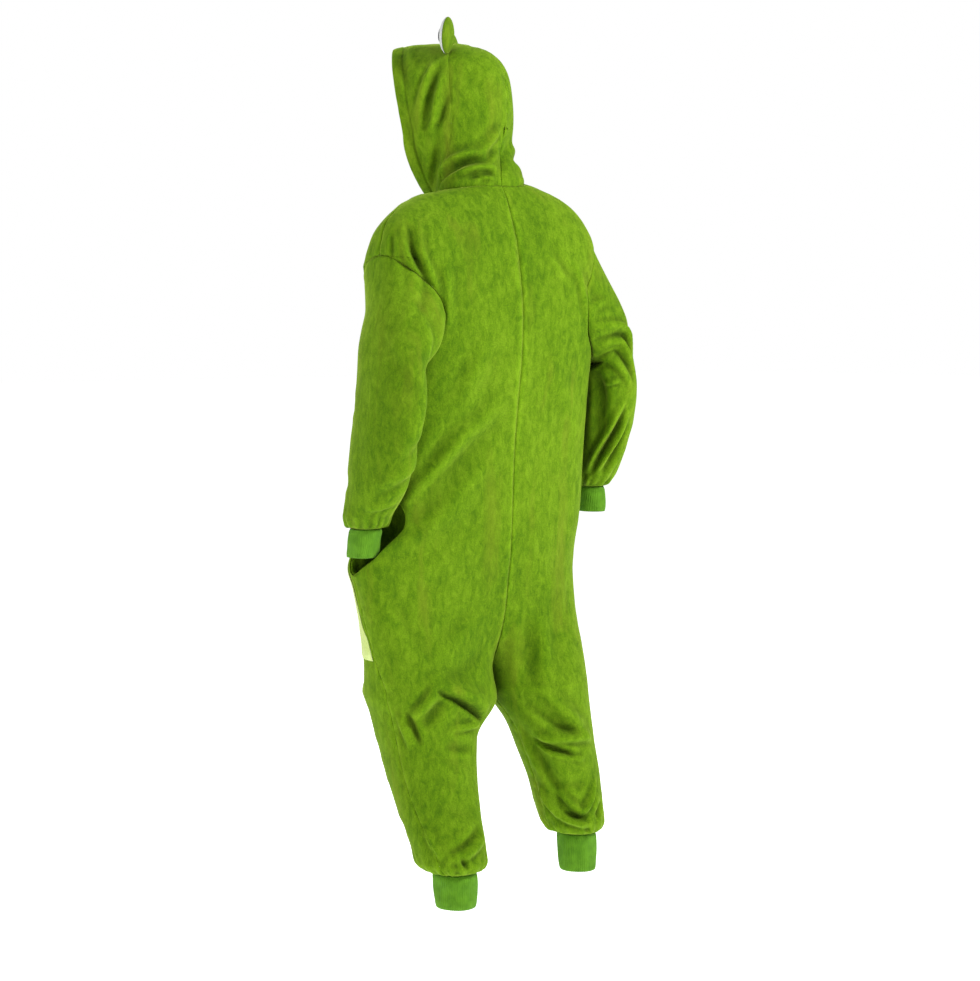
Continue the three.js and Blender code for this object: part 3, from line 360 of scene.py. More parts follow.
SLEEVE_FOLDS = {
    1: [
        (0.12, 0.08, 0.38, 0.16, 16, 5, 8, 0.7),
        (0.06, 0.20, 0.30, 0.34, 18, -4, 6, 0.7),
        (0.36, 0.24, 0.24, 0.62, 20, -3, 4, 0.8),
        (0.20, 0.66, 0.42, 0.56, 16, 4, 8, 0.7),
        (0.14, 0.76, 0.38, 0.68, 15, -4, 8, 0.7),
        (0.10, 0.84, 0.34, 0.77, 13, 5, 8, 0.7),
        (0.10, 0.90, 0.32, 0.86, 11, -4, 6, 0.7),
        (0.60, 0.84, 0.90, 0.78, 13, 5, 8, 0.7),
        (0.60, 0.40, 0.88, 0.46, 15, 4, 8, 0.7),
    ],
    -1: [
        # Arcs out of the armhole, over the elbow.
        (0.30, 0.03, 0.17, 0.36, 8, -7, -10, 0.7),
        (0.35, 0.03, 0.18, 0.40, 6, 6, -10, 0.8),
        (0.39, 0.03, 0.19, 0.44, 8, -7, -12, 0.7),
        (0.42, 0.06, 0.22, 0.47, 6, 6, -10, 0.8),
        (0.43, 0.14, 0.25, 0.50, 8, -5, -8, 0.7),
        (0.41, 0.43, 0.32, 0.43, 6, -5, 0, 0.7),
        (0.25, 0.02, 0.17, 0.10, 8, -4, -4, 0.7),
        # The hollow beside the body.
        (0.46, 0.26, 0.40, 0.78, 15, 12, 0, 0.8),
        # The forearm.
        (0.43, 0.93, 0.29, 0.55, 8, -7, 0, 0.6),
        (0.40, 0.94, 0.27, 0.60, 6, 8, 0, 0.8),
        (0.36, 0.92, 0.245, 0.64, 8, -7, 0, 0.6),
        (0.32, 0.93, 0.22, 0.68, 6, 6, 0, 0.8),
        (0.27, 0.94, 0.19, 0.76, 8, -4, 0, 0.7),
        (0.60, 0.50, 0.90, 0.46, 15, 6, 8, 0.7),
        (0.62, 0.58, 0.92, 0.55, 12, -5, 8, 0.7),
        (0.60, 0.78, 0.86, 0.70, 13, 5, 8, 0.7),
    ],
}
HOOD_FOLDS = {
    1: [
        # The slouch at the nape.
        (0.36, 0.13, 0.82, 0.28, 10, -7, -4, 0.7),
        (0.80, 0.27, 0.96, 0.60, 10, -6, -4, 0.7),
        (0.40, 0.07, 0.88, 0.22, 9, 8, -4, 0.7),
        (0.86, 0.22, 0.98, 0.44, 9, 6, -4, 0.7),
        (0.60, 0.07, 0.99, 0.20, 8, -6, -3, 0.7),
        (0.70, 0.03, 0.99, 0.13, 7, 6, -3, 0.8),
        (0.80, 0.11, 0.99, 0.05, 7, -4, 0, 0.8),
        # From the eye's seam down the front panel.
        (0.33, 0.74, 0.15, 0.52, 9, -5, 4, 0.7),
        (0.36, 0.72, 0.19, 0.46, 8, 5, 4, 0.8),
        (0.39, 0.67, 0.23, 0.42, 8, -5, 4, 0.7),
        (0.42, 0.58, 0.28, 0.44, 7, 4, 4, 0.8),
        (0.06, 0.95, 0.12, 0.60, 12, 5, 6, 0.7),
        (0.05, 0.55, 0.18, 0.24, 12, 4, 6, 0.7),
        (0.34, 0.40, 0.24, 0.16, 10, 5, 4, 0.8),
        (0.55, 0.70, 0.80, 0.62, 18, 3, 10, 0.8),
    ],
    -1: [
        (0.42, 0.08, 0.97, 0.30, 15, 4, -6, 0.7),
        (0.50, 0.14, 0.96, 0.38, 12, -2, -8, 0.8),
        (0.60, 0.05, 0.98, 0.16, 13, 3, -4, 0.7),
        (0.08, 0.95, 0.14, 0.50, 12, 6, 6, 0.7),
        (0.24, 0.92, 0.18, 0.48, 10, -4, 6, 0.7),
        (0.05, 0.60, 0.18, 0.24, 12, 4, 6, 0.7),
    ],
}

# How near a sewn edge a fold fades out: at turn 0 and 1, then at the lowest and highest level or share.
BODY_CALM = (0.03, 0.03, 12, 22)
SLEEVE_CALM = (0, 0, 0.03, 0.02)
HOOD_CALM = (0, 0.09, 0.09, 0.08)


def read(rows, key, column, at):
    """Smooth reading of one column between the rows of a table. It never overshoots a row."""
    x = rows[key]
    y = rows[column]
    at = np.clip(at, x[0], x[-1])
    slope = np.diff(y) / np.diff(x)
    tangent = np.empty_like(y)
    tangent[0] = slope[0]
    tangent[-1] = slope[-1]
    before = slope[:-1]
    after = slope[1:]
    same_way = before * after > 0
    total = np.where(same_way, before + after, 1)
    tangent[1:-1] = np.where(same_way, 2 * before * after / total, 0)
    i = np.clip(np.searchsorted(x, at, side="right") - 1, 0, len(x) - 2)
    span = x[i + 1] - x[i]
    t = (at - x[i]) / span
    t2 = t * t
    t3 = t2 * t
    return (
        (2 * t3 - 3 * t2 + 1) * y[i]
        + (t3 - 2 * t2 + t) * span * tangent[i]
        + (3 * t2 - 2 * t3) * y[i + 1]
        + (t3 - t2) * span * tangent[i + 1]
    )


def smooth(t):
    x = np.clip(t, 0, 1)
    return x * x * (3 - 2 * x)


def signed_power(value, power):
    return np.sign(value) * np.abs(value) ** power


def between(a, b, t):
    return a + (b - a) * t


def unit(vectors):
    length = np.linalg.norm(vectors, axis=-1, keepdims=True)
    return vectors / np.maximum(length, 1e-9)


def stack(*parts):
    return np.stack(np.broadcast_arrays(*parts), axis=-1)


def torso_point(side, turn, level):
    name = "left" if side > 0 else "right"
    power = 2 / read(TORSO, "level", "square", level)
    across = signed_power(np.sin(turn * np.pi), power)
    along = signed_power(np.cos(turn * np.pi), power)
    reach = np.abs(along)
    ahead = along > 0
    side_y = read(TORSO, "level", "sideY", level)
    side_z = read(TORSO, "level", name + "Z", level)
    end_y = np.where(
        ahead, read(TORSO, "level", "frontY", level), read(TORSO, "level", "backY", level)
    )
    end_z = np.where(
        ahead, read(TORSO, "level", "frontZ", level), read(TORSO, "level", "backZ", level)
    )
    middle = read(TORSO, "level", "middleX", level)
    return stack(
        middle * (1 - np.abs(across)) + side * read(TORSO, "level", name + "X", level) * across,
        side_y + (end_y - side_y) * reach,
        side_z + (end_z - side_z) * reach**1.5,
    )


def leg_ring(side, turn, level):
    rows = LEGS[side]
    angle = turn * 2 * np.pi
    return stack(
        side * (read(rows, "level", "x", level) - read(rows, "level", "halfX", level) * np.cos(angle)),
        read(rows, "level", "y", level) - read(rows, "level", "halfY", level) * np.sin(angle),
        level,
    )


def leg_point(side, turn, level):
    """The leg's ring, drawn over at its inside near the crotch, so that the legs meet there in one line."""
    near = smooth((level - CROTCH_LEVEL + CROTCH_FADE) / CROTCH_FADE)
    inside = np.clip(np.cos(turn * 2 * np.pi), 0, None) ** CROTCH_SPREAD
    start = np.zeros_like(turn)
    meeting = between(leg_ring(1, start, level), leg_ring(-1, start, level), CROTCH_SHARE)
    drawn = meeting - leg_ring(side, start, level)
    return leg_ring(side, turn, level) + drawn * (near * inside)[..., None]


def body_base(side, turn, level):
    """The body's plain surface: legs below the crotch, torso above it, blended between."""
    turn, level = np.broadcast_arrays(np.asarray(turn, float), np.asarray(level, float))
    towards_back = smooth(turn)
    front = read(RISE, "level", "front", level)
    back = read(RISE, "level", "back", level)
    share = np.where(level <= CROTCH_LEVEL, 0, front + (back - front) * towards_back)[..., None]
    return leg_point(side, turn, level) * (1 - share) + torso_point(side, turn, level) * share


def sleeve_ellipse(side, angle, share):
    rows = SLEEVES[side]

    def get(column):
        return read(rows, "share", column, share)

    return stack(
        side * (get("x") + get("halfX") * np.cos(angle)),
        get("y") + get("halfY") * np.sin(angle),
        get("z") + get("rise") * np.cos(angle),
    )


def armhole_place(angle):
    """Place on the body of a point of the armhole. Angle 0 is the shoulder tip, a quarter turn the back."""
    reach = np.where(np.sin(angle) > 0, ARMHOLE_BACK, ARMHOLE_FRONT)
    middle = (ARMHOLE_LOW + ARMHOLE_HIGH) / 2
    return 0.5 + reach * np.sin(angle), middle + (ARMHOLE_HIGH - middle) * np.cos(angle)


def sleeve_base(side, turn, share):
    turn, share = np.broadcast_arrays(np.asarray(turn, float), np.asarray(share, float))
    angle = turn * 2 * np.pi
    plain = sleeve_ellipse(side, angle, share)
    fade = 1 - smooth(share / SLEEVE_EASE_SHARE)
    place = armhole_place(angle)
    edge, normal = body[side].sample(*place)
    stand = SLEEVE_STAND_OFF * 2 * fade * (1 - fade) * (1 - np.cos(angle))
    start = sleeve_ellipse(side, angle, np.zeros_like(share))
    return plain + normal * stand[..., None] + (edge - start) * fade[..., None]


def hood_base(side, turn, row):
    """A hood point. Row 0 is the neckline, half a row up is the widest place, row 1 is the top seam."""
    turn, row = np.broadcast_arrays(np.asarray(turn, float), np.asarray(row, float))

    def get(column):
        return read(HOOD, "share", column, turn)

    yaw = np.radians(get("yaw"))

    def in_hood(forward, aside, z):
        return stack(
            HOOD_AXIS[0] + forward * np.sin(yaw) + aside * np.cos(yaw),
            HOOD_AXIS[1] - forward * np.cos(yaw) + aside * np.sin(yaw),
            z,
        )

    aside = side * get("midAside")
    arch = np.clip(row - 0.5, 0, 0.5) * np.pi
    up = signed_power(np.sin(arch), 0.9)
    upper = in_hood(
        between(get("midForward"), get("topForward"), up),
        aside * signed_power(np.cos(arch), 0.8),
        between(get("midZ"), get("topZ"), up),
    )
    widest = in_hood(get("midForward"), aside, get("midZ"))
    neck = body[side].point(turn, np.full_like(turn, NECK_LEVEL))
    t = np.clip(row / 0.5, 0, 1)
    drift = smooth(t) ** get("flare")
    lower = between(neck, widest, stack(drift, drift, t))
    return np.where((row >= 0.5)[..., None], upper, lower)


class Surface:
    """A plain surface with its folds. It gives points and outward normals at places on it."""

    def __init__(self, base, steps, limits, outward, folds, calm):
        self.base = base
        self.calm = calm
        self.steps = steps
        self.limits = limits
        self.outward = outward
        self.lines = []
        for row in folds:
            fold = dict(zip(FOLD_COLUMNS, row))
            t = np.linspace(0, 1, 15)
            points = base(
                between(fold["turn1"], fold["turn2"], t), between(fold["level1"], fold["level2"], t)
            )
            points[:, 2] -= fold["bow"] * 4 * t * (1 - t)
            self.lines.append((fold, points))

    def normal_of(self, turn, level):
        at = self.base
        across, up = self.steps
        low_turn, high_turn, low_level, high_level = self.limits
        a = at(np.clip(turn + across, low_turn, high_turn), level)
        b = at(np.clip(turn - across, low_turn, high_turn), level)
        c = at(turn, np.clip(level + up, low_level, high_level))
        d = at(turn, np.clip(level - up, low_level, high_level))
        return unit(np.cross(a - b, c - d)) * self.outward

    def calmed(self, turn, level):
        """How much of a fold is left near the edges that are sewn to another surface, from 0 to 1."""
        low_level, high_level = self.limits[2:]
        room = (turn, 1 - turn, level - low_level, high_level - level)
        share = np.ones_like(turn)
        for gap, reach in zip(room, self.calm):
            if reach:
                share = share * smooth(gap / reach)
        return share

    def push(self, points, normals):
        """How far out the folds move each point, along its normal."""
        total = np.zeros(points.shape[:-1])
        flat = points.reshape(-1, 3)
        flat_normals = normals.reshape(-1, 3)
        out = total.reshape(-1)
        for fold, line in self.lines:
            reach = 3.2 * fold["wide"]
            inside = np.all((flat > line.min(0) - reach) & (flat < line.max(0) + reach), axis=1)
            if not inside.any():
                continue
            near = flat[inside]
            away, along, beside = distance_along(near, flat_normals[inside], line)
            taper = np.sin(np.pi * along) ** 0.8
            wide = np.where(beside > 0, fold["wide"], fold["wide"] * fold["sharp"])
            scaled = away / wide
            shape = np.exp(-(scaled**2)) - 0.22 * np.exp(-((scaled - 1.9) ** 2) * 1.6)
            out[inside] -= FOLD_DEPTH * fold["deep"] * taper * shape
        return total

    def point(self, turn, level):
        return self.sample(turn, level)[0]

    def sample(self, turn, level):
        """Points with their folds, and the normals of the plain surface under them."""
        turn, level = np.broadcast_arrays(np.asarray(turn, float), np.asarray(level, float))
        plain = self.base(turn, level)
        normals = self.normal_of(turn, level)
        push = self.push(plain, normals) * self.calmed(turn, level)
        return plain + normals * push[..., None], normals


def distance_along(points, normals, line):
    """Distance of points from a polyline, how far along it the nearest place is, and which side it is on."""
    best = np.full(len(points), np.inf)
    along = np.zeros(len(points))
    beside = np.zeros(len(points))
    last = len(line) - 1
    for i in range(last):
        segment = line[i + 1] - line[i]
        offset = points - line[i]
        t = offset @ segment / max(segment @ segment, 1e-9)
        t = np.clip(t, 0, 1)
        away = offset - t[:, None] * segment
        distance = np.linalg.norm(away, axis=1)
        closer = distance < best
        best[closer] = distance[closer]
        along[closer] = (i + t[closer]) / last
        beside[closer] = np.einsum("ij,ij->i", np.cross(segment, away[closer]), normals[closer])
    return best, along.clip(0, 1), beside


body = {}
sleeve = {}
hood = {}
for side in SIDES:
    hem = LEGS[side]["level"][0]
    body[side] = Surface(
        lambda t, l, s=side: body_base(s, t, l), (0.004, 1.5), (-1, 2, hem, NECK_LEVEL), side,
        BODY_FOLDS[side], BODY_CALM,
    )
for side in SIDES:
    sleeve[side] = Surface(
        lambda t, l, s=side: sleeve_base(s, t, l), (0.01, 0.006), (-9, 9, 0, 1), -side,
        SLEEVE_FOLDS[side], SLEEVE_CALM,
    )
    hood[side] = Surface(
        lambda t, l, s=side: hood_base(s, t, l), (0.004, 0.004), (0.002, 0.998, 0, 1), side,
        HOOD_FOLDS[side], HOOD_CALM,
    )


def ripple(points, size, seed, waves=7):
    """Smooth uneven waves over space, about one high, each of about that size in millimetres."""
    dice = np.random.RandomState(seed)
    total = np.zeros(points.shape[:-1])
    for _ in range(waves):
        way = dice.normal(size=3)
        way *= 2 * np.pi / (size * dice.uniform(0.7, 1.5) * np.linalg.norm(way))
        total += np.sin(points @ way + dice.uniform(0, 2 * np.pi))
    return total / math.sqrt(waves)


def nearest(points, line):
    """Distance of each point from the nearest point of a seam's line."""
    flat = points.reshape(-1, 3)
    best = np.full(len(flat), np.inf)
    for start in range(0, len(line), 40):
        part = line[start:start + 40]
        away = ((flat[:, None, :] - part[None, :, :]) ** 2).sum(-1).min(1)
        best = np.minimum(best, away)
    return np.sqrt(best).reshape(points.shape[:-1])


def spread(count, draw=0.5):
    """Shares from 0 to 1 that lie closer together near both ends."""
    t = np.linspace(0, 1, count)
    return (1 - draw) * t + draw * smooth(t)


def side_edge(side, level, towards):
    """Where a panel ends at its side: the side seam, opened at the pocket and at the armhole."""
    seam = read(EDGES, "level", "side", level)
    along = np.clip((level - POCKET_LOW) / (POCKET_HIGH - POCKET_LOW), 0, 1)
    seam = seam + towards * POCKETS[side]["gape"] * np.sin(np.pi * along) ** 0.6
    middle = (ARMHOLE_LOW + ARMHOLE_HIGH) / 2
    height = np.clip((level - middle) / (ARMHOLE_HIGH - middle), -1, 1)
    reach = ARMHOLE_BACK if towards > 0 else ARMHOLE_FRONT
    in_armhole = np.abs(height) < 1
    return np.where(in_armhole, 0.5 + towards * reach * np.sqrt(1 - height**2), seam)


def eased(low, high, count):
    """Heights from one level to another, closer together near both."""
    return low + (high - low) * (1 - np.cos(np.linspace(0, np.pi, count))) / 2


def row_count(length):
    """How many rows a stretch of cloth of this length gets."""
    return int(length / CLOTH_STEP)


def body_levels(side):
    """Heights of a body panel's rows, closer together near the ankle and where the armhole turns."""
    hem = LEGS[side]["level"][0]
    leg = hem + (CROTCH_LEVEL - hem) * np.linspace(0, 1, row_count(360)) ** 1.35
    seat = np.linspace(CROTCH_LEVEL, POCKET_LOW, row_count(250))
    pocket = eased(POCKET_LOW, POCKET_HIGH, row_count(200))
    chest = np.linspace(POCKET_HIGH, ARMHOLE_LOW, row_count(270))
    armhole = eased(ARMHOLE_LOW, ARMHOLE_HIGH, row_count(260))
    shoulder = np.linspace(ARMHOLE_HIGH, NECK_LEVEL, row_count(150))
    return np.concatenate([leg, seat[1:], pocket[1:], chest[1:], armhole[1:], shoulder[1:]])


def seam_lines(side):
    """The lines that the seams of one side follow on the body, each a row of points."""
    fine = np.linspace(LEGS[side]["level"][0], NECK_LEVEL, 520)
    upper = fine[fine >= CROTCH_LEVEL]
    lower = fine[fine < CROTCH_LEVEL]
    side_back = body[side].point(side_edge(side, fine, 1), fine)
    side_front = body[side].point(side_edge(side, fine, -1), fine)
    ring = np.linspace(0, 2 * np.pi, 260)
    return {
        "centre_back": body[side].point(np.full_like(upper, 1.0), upper),
        "centre_front": body[side].point(np.full_like(upper, 0.0), upper),
        "inseam": body[side].point(np.full_like(lower, 0.0), lower),
        "side_back": side_back,
        "side_front": side_front,
        "armhole": body[side].point(*armhole_place(ring)),
        "neck": body[side].point(np.linspace(0, 1, 160), np.full(160, NECK_LEVEL, float)),
    }


def bump_at(distance, wide):
    """A round bump over a distance, 1 high at its middle."""
    return np.exp(-((distance / wide) ** 2))


def finish_cloth(points, normals, seams, seed, grain=0.7):
    """Cloth points with a dip and small puckers along their seams, and slight unevenness all over."""
    away = nearest(points, np.concatenate(seams))
    dip = -SEAM_DIP * bump_at(away, SEAM_REACH)
    pucker = PUCKER_DEPTH * bump_at(away, PUCKER_REACH) * ripple(points, 26, seed + 5, 9)
    pucker *= 1 - bump_at(away, 2.0)
    swell = grain * ripple(points, 120, seed) + 0.4 * grain * ripple(points, 48, seed + 1)
    calm = 1 - bump_at(away, 30)
    return points + normals * (dip + pucker + swell * calm)[..., None]


def grid_faces(rows, columns, closed):
    across = columns if closed else columns - 1
    r = np.arange(rows - 1)[:, None]
    c = np.arange(across)[None, :]
    nxt = (c + 1) % columns
    faces = np.stack(
        [r * columns + c, r * columns + nxt, (r + 1) * columns + nxt, (r + 1) * columns + c], axis=-1
    )
    return faces.reshape(-1, 4)


def local(points):
    """Points above the ground in millimetres as points of the part in metres."""
    moved = np.array(points, float)
    moved[..., 2] -= MOUNT_HEIGHT
    return moved * MM


def mesh_object(name, vertices, faces, materials, smooth_shade=True):
    mesh = bpy.data.meshes.new(name)
    mesh.from_pydata([tuple(v) for v in vertices], [], [tuple(int(i) for i in f) for f in faces])
    for material in materials:
        mesh.materials.append(material)
    mesh.polygons.foreach_set("use_smooth", [smooth_shade] * len(mesh.polygons))
    mesh.update()
    made = bpy.data.objects.new(name, mesh)
    bpy.context.scene.collection.objects.link(made)
    return made


def cloth_object(name, points, outward, closed, material, wall):
    """A cloth piece from a grid of outer points, with its wall inside them."""
    rows, columns = points.shape[:2]
    faces = grid_faces(rows, columns, closed)
    a, b, c = points[rows // 2, 0], points[rows // 2, 1], points[rows // 2 + 1, 0]
    facing = np.dot(np.cross(b - a, c - a), outward[rows // 2, 0])
    if facing < 0:
        faces = faces[:, ::-1]
    made = mesh_object(name, local(points).reshape(-1, 3), faces, [material])
    solid = made.modifiers.new("wall", "SOLIDIFY")
    solid.thickness = wall * MM
    solid.offset = -1
    solid.use_even_offset = False
    solid.use_quality_normals = True
    return made


def dress(piece, node, flat, held, slot, area=None, rests_on=(), with_pieces=()):
    """Attaches a cloth piece to the root body and hides the solid that it stands for."""
    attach(piece, "root")
    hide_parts(node)
    return piece


# Materials.
def new_material(name):
    made = bpy.data.materials.new(name)
    made.use_nodes = True
    nodes = made.node_tree.nodes
    shader = nodes["Principled BSDF"]
    return made, nodes, made.node_tree.links, shader


def grey(value):
    return (value, value, value)


def noise(nodes, links, coordinates, scale, detail, roughness=0.55, distortion=0.0):
    made = nodes.new("ShaderNodeTexNoise")
    made.inputs["Scale"].default_value = scale
    made.inputs["Detail"].default_value = detail
    made.inputs["Roughness"].default_value = roughness
    made.inputs["Distortion"].default_value = distortion
    links.new(coordinates, made.inputs["Vector"])
    return made


def stretched(nodes, links, coordinates, scale):
    made = nodes.new("ShaderNodeMapping")
    made.inputs["Scale"].default_value = scale
    links.new(coordinates, made.inputs["Vector"])
    return made.outputs["Vector"]


def ramp(nodes, links, value, stops):
    made = nodes.new("ShaderNodeValToRGB")
    while len(made.color_ramp.elements) < len(stops):
        made.color_ramp.elements.new(0.5)
    for element, (place, color) in zip(made.color_ramp.elements, stops):
        element.position = place
        element.color = (*color, 1)
    links.new(value, made.inputs["Fac"])
    return made.outputs["Color"]


def mixed_colors(nodes, links, first, second, factor, blend="MIX"):
    made = nodes.new("ShaderNodeMix")
    made.data_type = "RGBA"
    made.blend_type = blend
    made.inputs["Factor"].default_value = factor
    links.new(first, made.inputs["A"])
    links.new(second, made.inputs["B"])
    return made.outputs["Result"]


def bump(nodes, links, height, strength, distance):
    made = nodes.new("ShaderNodeBump")
    made.inputs["Strength"].default_value = strength
    made.inputs["Distance"].default_value = distance
    links.new(height, made.inputs["Height"])
    return made


def velour(name, dark, mid, light, sheen, sheen_tint, streaks=None):
    """Velour: a short nap that lies in patches, with a soft sheen and a fine pile, and with painted
    highlights on its ridges and painted shade in its troughs and hollows.
    """
    made, nodes, links, shader = new_material(name)
    place = nodes.new("ShaderNodeTexCoord").outputs["Object"]
    upright = stretched(nodes, links, place, (1.0, 1.0, 0.5))
    broad_patches = noise(nodes, links, upright, 7, 3, 0.5, 0.4)
    small_patches = noise(nodes, links, upright, 75, 6, 0.72, 0.5)
    blended = nodes.new("ShaderNodeMix")
    blended.data_type = "FLOAT"
    blended.inputs["Factor"].default_value = 0.7
    links.new(broad_patches.outputs["Fac"], blended.inputs["A"])
    links.new(small_patches.outputs["Fac"], blended.inputs["B"])
    patches = blended.outputs["Result"]
    color = ramp(nodes, links, patches, [(0.38, dark), (0.5, mid), (0.62, light)])
    pile = noise(nodes, links, place, 420, 4)
    color = mixed_colors(nodes, links, color, pile.outputs["Fac"], 0.5, "OVERLAY")
    if streaks:
        long_way = stretched(nodes, links, place, (9.0, 9.0, 1.3))
        worn = noise(nodes, links, long_way, 1.7, 3, 0.6, 0.4)
        streak_mix = nodes.new("ShaderNodeMix")
        streak_mix.data_type = "RGBA"
        share = ramp(nodes, links, worn.outputs["Fac"], [(0.56, grey(0)), (0.76, grey(0.5))])
        links.new(share, streak_mix.inputs["Factor"])
        links.new(color, streak_mix.inputs["A"])
        streak_mix.inputs["B"].default_value = (*streaks, 1)
        color = streak_mix.outputs["Result"]
    # Painted highlight and painted shade: the colour is made paler on the mesh's ridges and darker in its
    # troughs, standing in for how light falls on the folds.
    ridge = nodes.new("ShaderNodeNewGeometry").outputs["Pointiness"]
    painted_ridge_light_and_trough_shade = ramp(nodes, links, ridge, [
        (0.44, grey(0.5)),
        (0.49, grey(0.88)),
        (0.50, grey(1.0)),
        (0.52, grey(1.16)),
        (0.55, grey(1.2)),
    ])
    color = mixed_colors(nodes, links, color, painted_ridge_light_and_trough_shade, 0.9, "MULTIPLY")
    # Painted shade: the colour is darkened deep in a fold and where two pieces lie close, standing in for the
    # shade that falls there.
    hollow = nodes.new("ShaderNodeAmbientOcclusion")
    hollow.samples = 4
    hollow.inputs["Distance"].default_value = 0.055
    painted_hollow_shade = ramp(nodes, links, hollow.outputs["AO"], [
        (0.25, grey(0.42)),
        (0.75, grey(0.92)),
        (0.95, grey(1.0)),
    ])
    color = mixed_colors(nodes, links, color, painted_hollow_shade, 1.0, "MULTIPLY")
    links.new(color, shader.inputs["Base Color"])
    rough = ramp(nodes, links, patches, [(0.36, grey(0.95)), (0.64, grey(0.82))])
    links.new(rough, shader.inputs["Roughness"])
    shader.inputs["Specular IOR Level"].default_value = 0.12
    shader.inputs["Sheen Weight"].default_value = sheen
    shader.inputs["Sheen Roughness"].default_value = 0.35
    shader.inputs["Sheen Tint"].default_value = (*sheen_tint, 1)
    fine = bump(nodes, links, pile.outputs["Fac"], 0.45, 0.0009)
    broad = bump(nodes, links, small_patches.outputs["Fac"], 0.4, 0.002)
    links.new(fine.outputs["Normal"], broad.inputs["Normal"])
    links.new(broad.outputs["Normal"], shader.inputs["Normal"])
    return made


def knit(name, dark, light):
    """Rib knit: the ribs are in the mesh, and the small stitches and colour are here."""
    made, nodes, links, shader = new_material(name)
    place = nodes.new("ShaderNodeTexCoord").outputs["Object"]
    patches = noise(nodes, links, place, 55, 4)
    color = ramp(nodes, links, patches.outputs["Fac"], [(0.35, dark), (0.65, light)])
    links.new(color, shader.inputs["Base Color"])
    rows = nodes.new("ShaderNodeTexWave")
    rows.wave_type = "BANDS"
    rows.bands_direction = "Z"
    rows.inputs["Scale"].default_value = 150
    rows.inputs["Distortion"].default_value = 3
    rows.inputs["Detail"].default_value = 2
    links.new(place, rows.inputs["Vector"])
    stitches = bump(nodes, links, rows.outputs["Fac"], 0.4, 0.0006)
    links.new(stitches.outputs["Normal"], shader.inputs["Normal"])
    shader.inputs["Roughness"].default_value = 0.86
    shader.inputs["Specular IOR Level"].default_value = 0.2
    shader.inputs["Sheen Weight"].default_value = 0.25
    shader.inputs["Sheen Roughness"].default_value = 0.5
    shader.inputs["Sheen Tint"].default_value = (0.5, 0.9, 0.35, 1)
    return made


green = velour(
    "green velour", (0.068, 0.160, 0.002), (0.112, 0.228, 0.003), (0.156, 0.290, 0.006),
    0.45, (0.62, 0.80, 0.10), streaks=(0.185, 0.235, 0.012),
)
pale = velour(
    "pale velour", (0.44, 0.56, 0.14), (0.52, 0.64, 0.20), (0.60, 0.71, 0.27), 0.3, (0.9, 0.95, 0.7)
)
white = velour(
    "white velour", (0.66, 0.68, 0.66), (0.74, 0.76, 0.74), (0.82, 0.84, 0.82), 0.3, grey(1.0)
)
black = velour(
    "black felt", (0.008, 0.008, 0.008), (0.013, 0.013, 0.012), (0.02, 0.02, 0.019), 0.2, grey(0.6)
)
rib = knit("green rib knit", (0.080, 0.225, 0.005), (0.118, 0.305, 0.010))
thread = knit("green thread", (0.06, 0.17, 0.01), (0.10, 0.24, 0.02))

lines = {side: seam_lines(side) for side in SIDES}

# The cut of each piece: width and length of its flat rectangle and its own flat area, in metres.
CUTS = {
    "back": (0.40, 1.42, 0.40),
    "front": (0.42, 1.40, 0.41),
    "sleeve": (0.44, 0.50, 0.185),
    "hood_front": (0.18, 0.39, 0.045),
    "hood_back": (0.22, 0.37, 0.053),
    "belly": (0.29, 0.65, 0.142),
    "wrist_cuff": (0.20, 0.062, 0.0115),
    "ankle_cuff": (0.27, 0.076, 0.020),
    "pocket_left": (0.32, 0.18, 0.044),
    "pocket_right": (0.25, 0.17, 0.024),
    "placket": (0.062, 0.86, 0.042),
    "pupil": (0.030, 0.030, 0.00071),
}


def cut(kind):
    width, length, area = CUTS[kind]
    return {"flat": (width, length), "area": area}


def gathers(turn, away, count, depth, reach, seed):
    """Small upright gathers round a tube, just past the seam of its cuff."""
    phase = 0.9 * np.sin(2 * np.pi * turn * 3 + seed) + 0.5 * np.sin(2 * np.pi * turn * 5 + 2.1 * seed)
    wave = np.cos(2 * np.pi * count * turn + phase + away * 0.012)
    uneven = 0.75 + 0.35 * np.sin(2 * np.pi * turn * 4 + 1.7 * seed)
    rise = smooth(away / 10) * np.exp(-np.clip(away - 8, 0, None) / reach)
    return depth * wave * uneven * rise


# The fronts and backs.
def body_panel(side, towards, columns):
    """Points and normals of a front or back panel, from its centre seam out to its side."""
    levels = body_levels(side)[:, None]
    centre = 1.0 if towards > 0 else 0.0
    edge = side_edge(side, levels, towards)
    turn = centre + (edge - centre) * spread(columns)[None, :]
    levels = np.broadcast_to(levels, turn.shape)
    points, normals = body[side].sample(turn, levels)
    away = levels - LEGS[side]["level"][0]
    points = points + normals * gathers(turn, away, seed=1.3 + side, **ANKLE_GATHERS)[..., None]
    own = lines[side]
    middle = own["centre_back"] if towards > 0 else own["centre_front"]
    edge_line = own["side_back"] if towards > 0 else own["side_front"]
    hem_ring = own["inseam"][:1]
    seams = [middle, own["inseam"], edge_line, own["armhole"], own["neck"], hem_ring]
    return finish_cloth(points, normals, seams, BODY_SEED + side + 2 * towards), normals


for side in SIDES:
    name = SIDE_NAME[side]
    for kind, towards, columns in (("back", 1, 78), ("front", -1, 70)):
        points, normals = body_panel(side, towards, columns)
        piece = cloth_object(f"{kind}_panel_{name}", points, normals, False, green, CLOTH_WALL)
        dress(piece, f"{kind}_{name}", held="hung", slot="velour", **cut(kind))


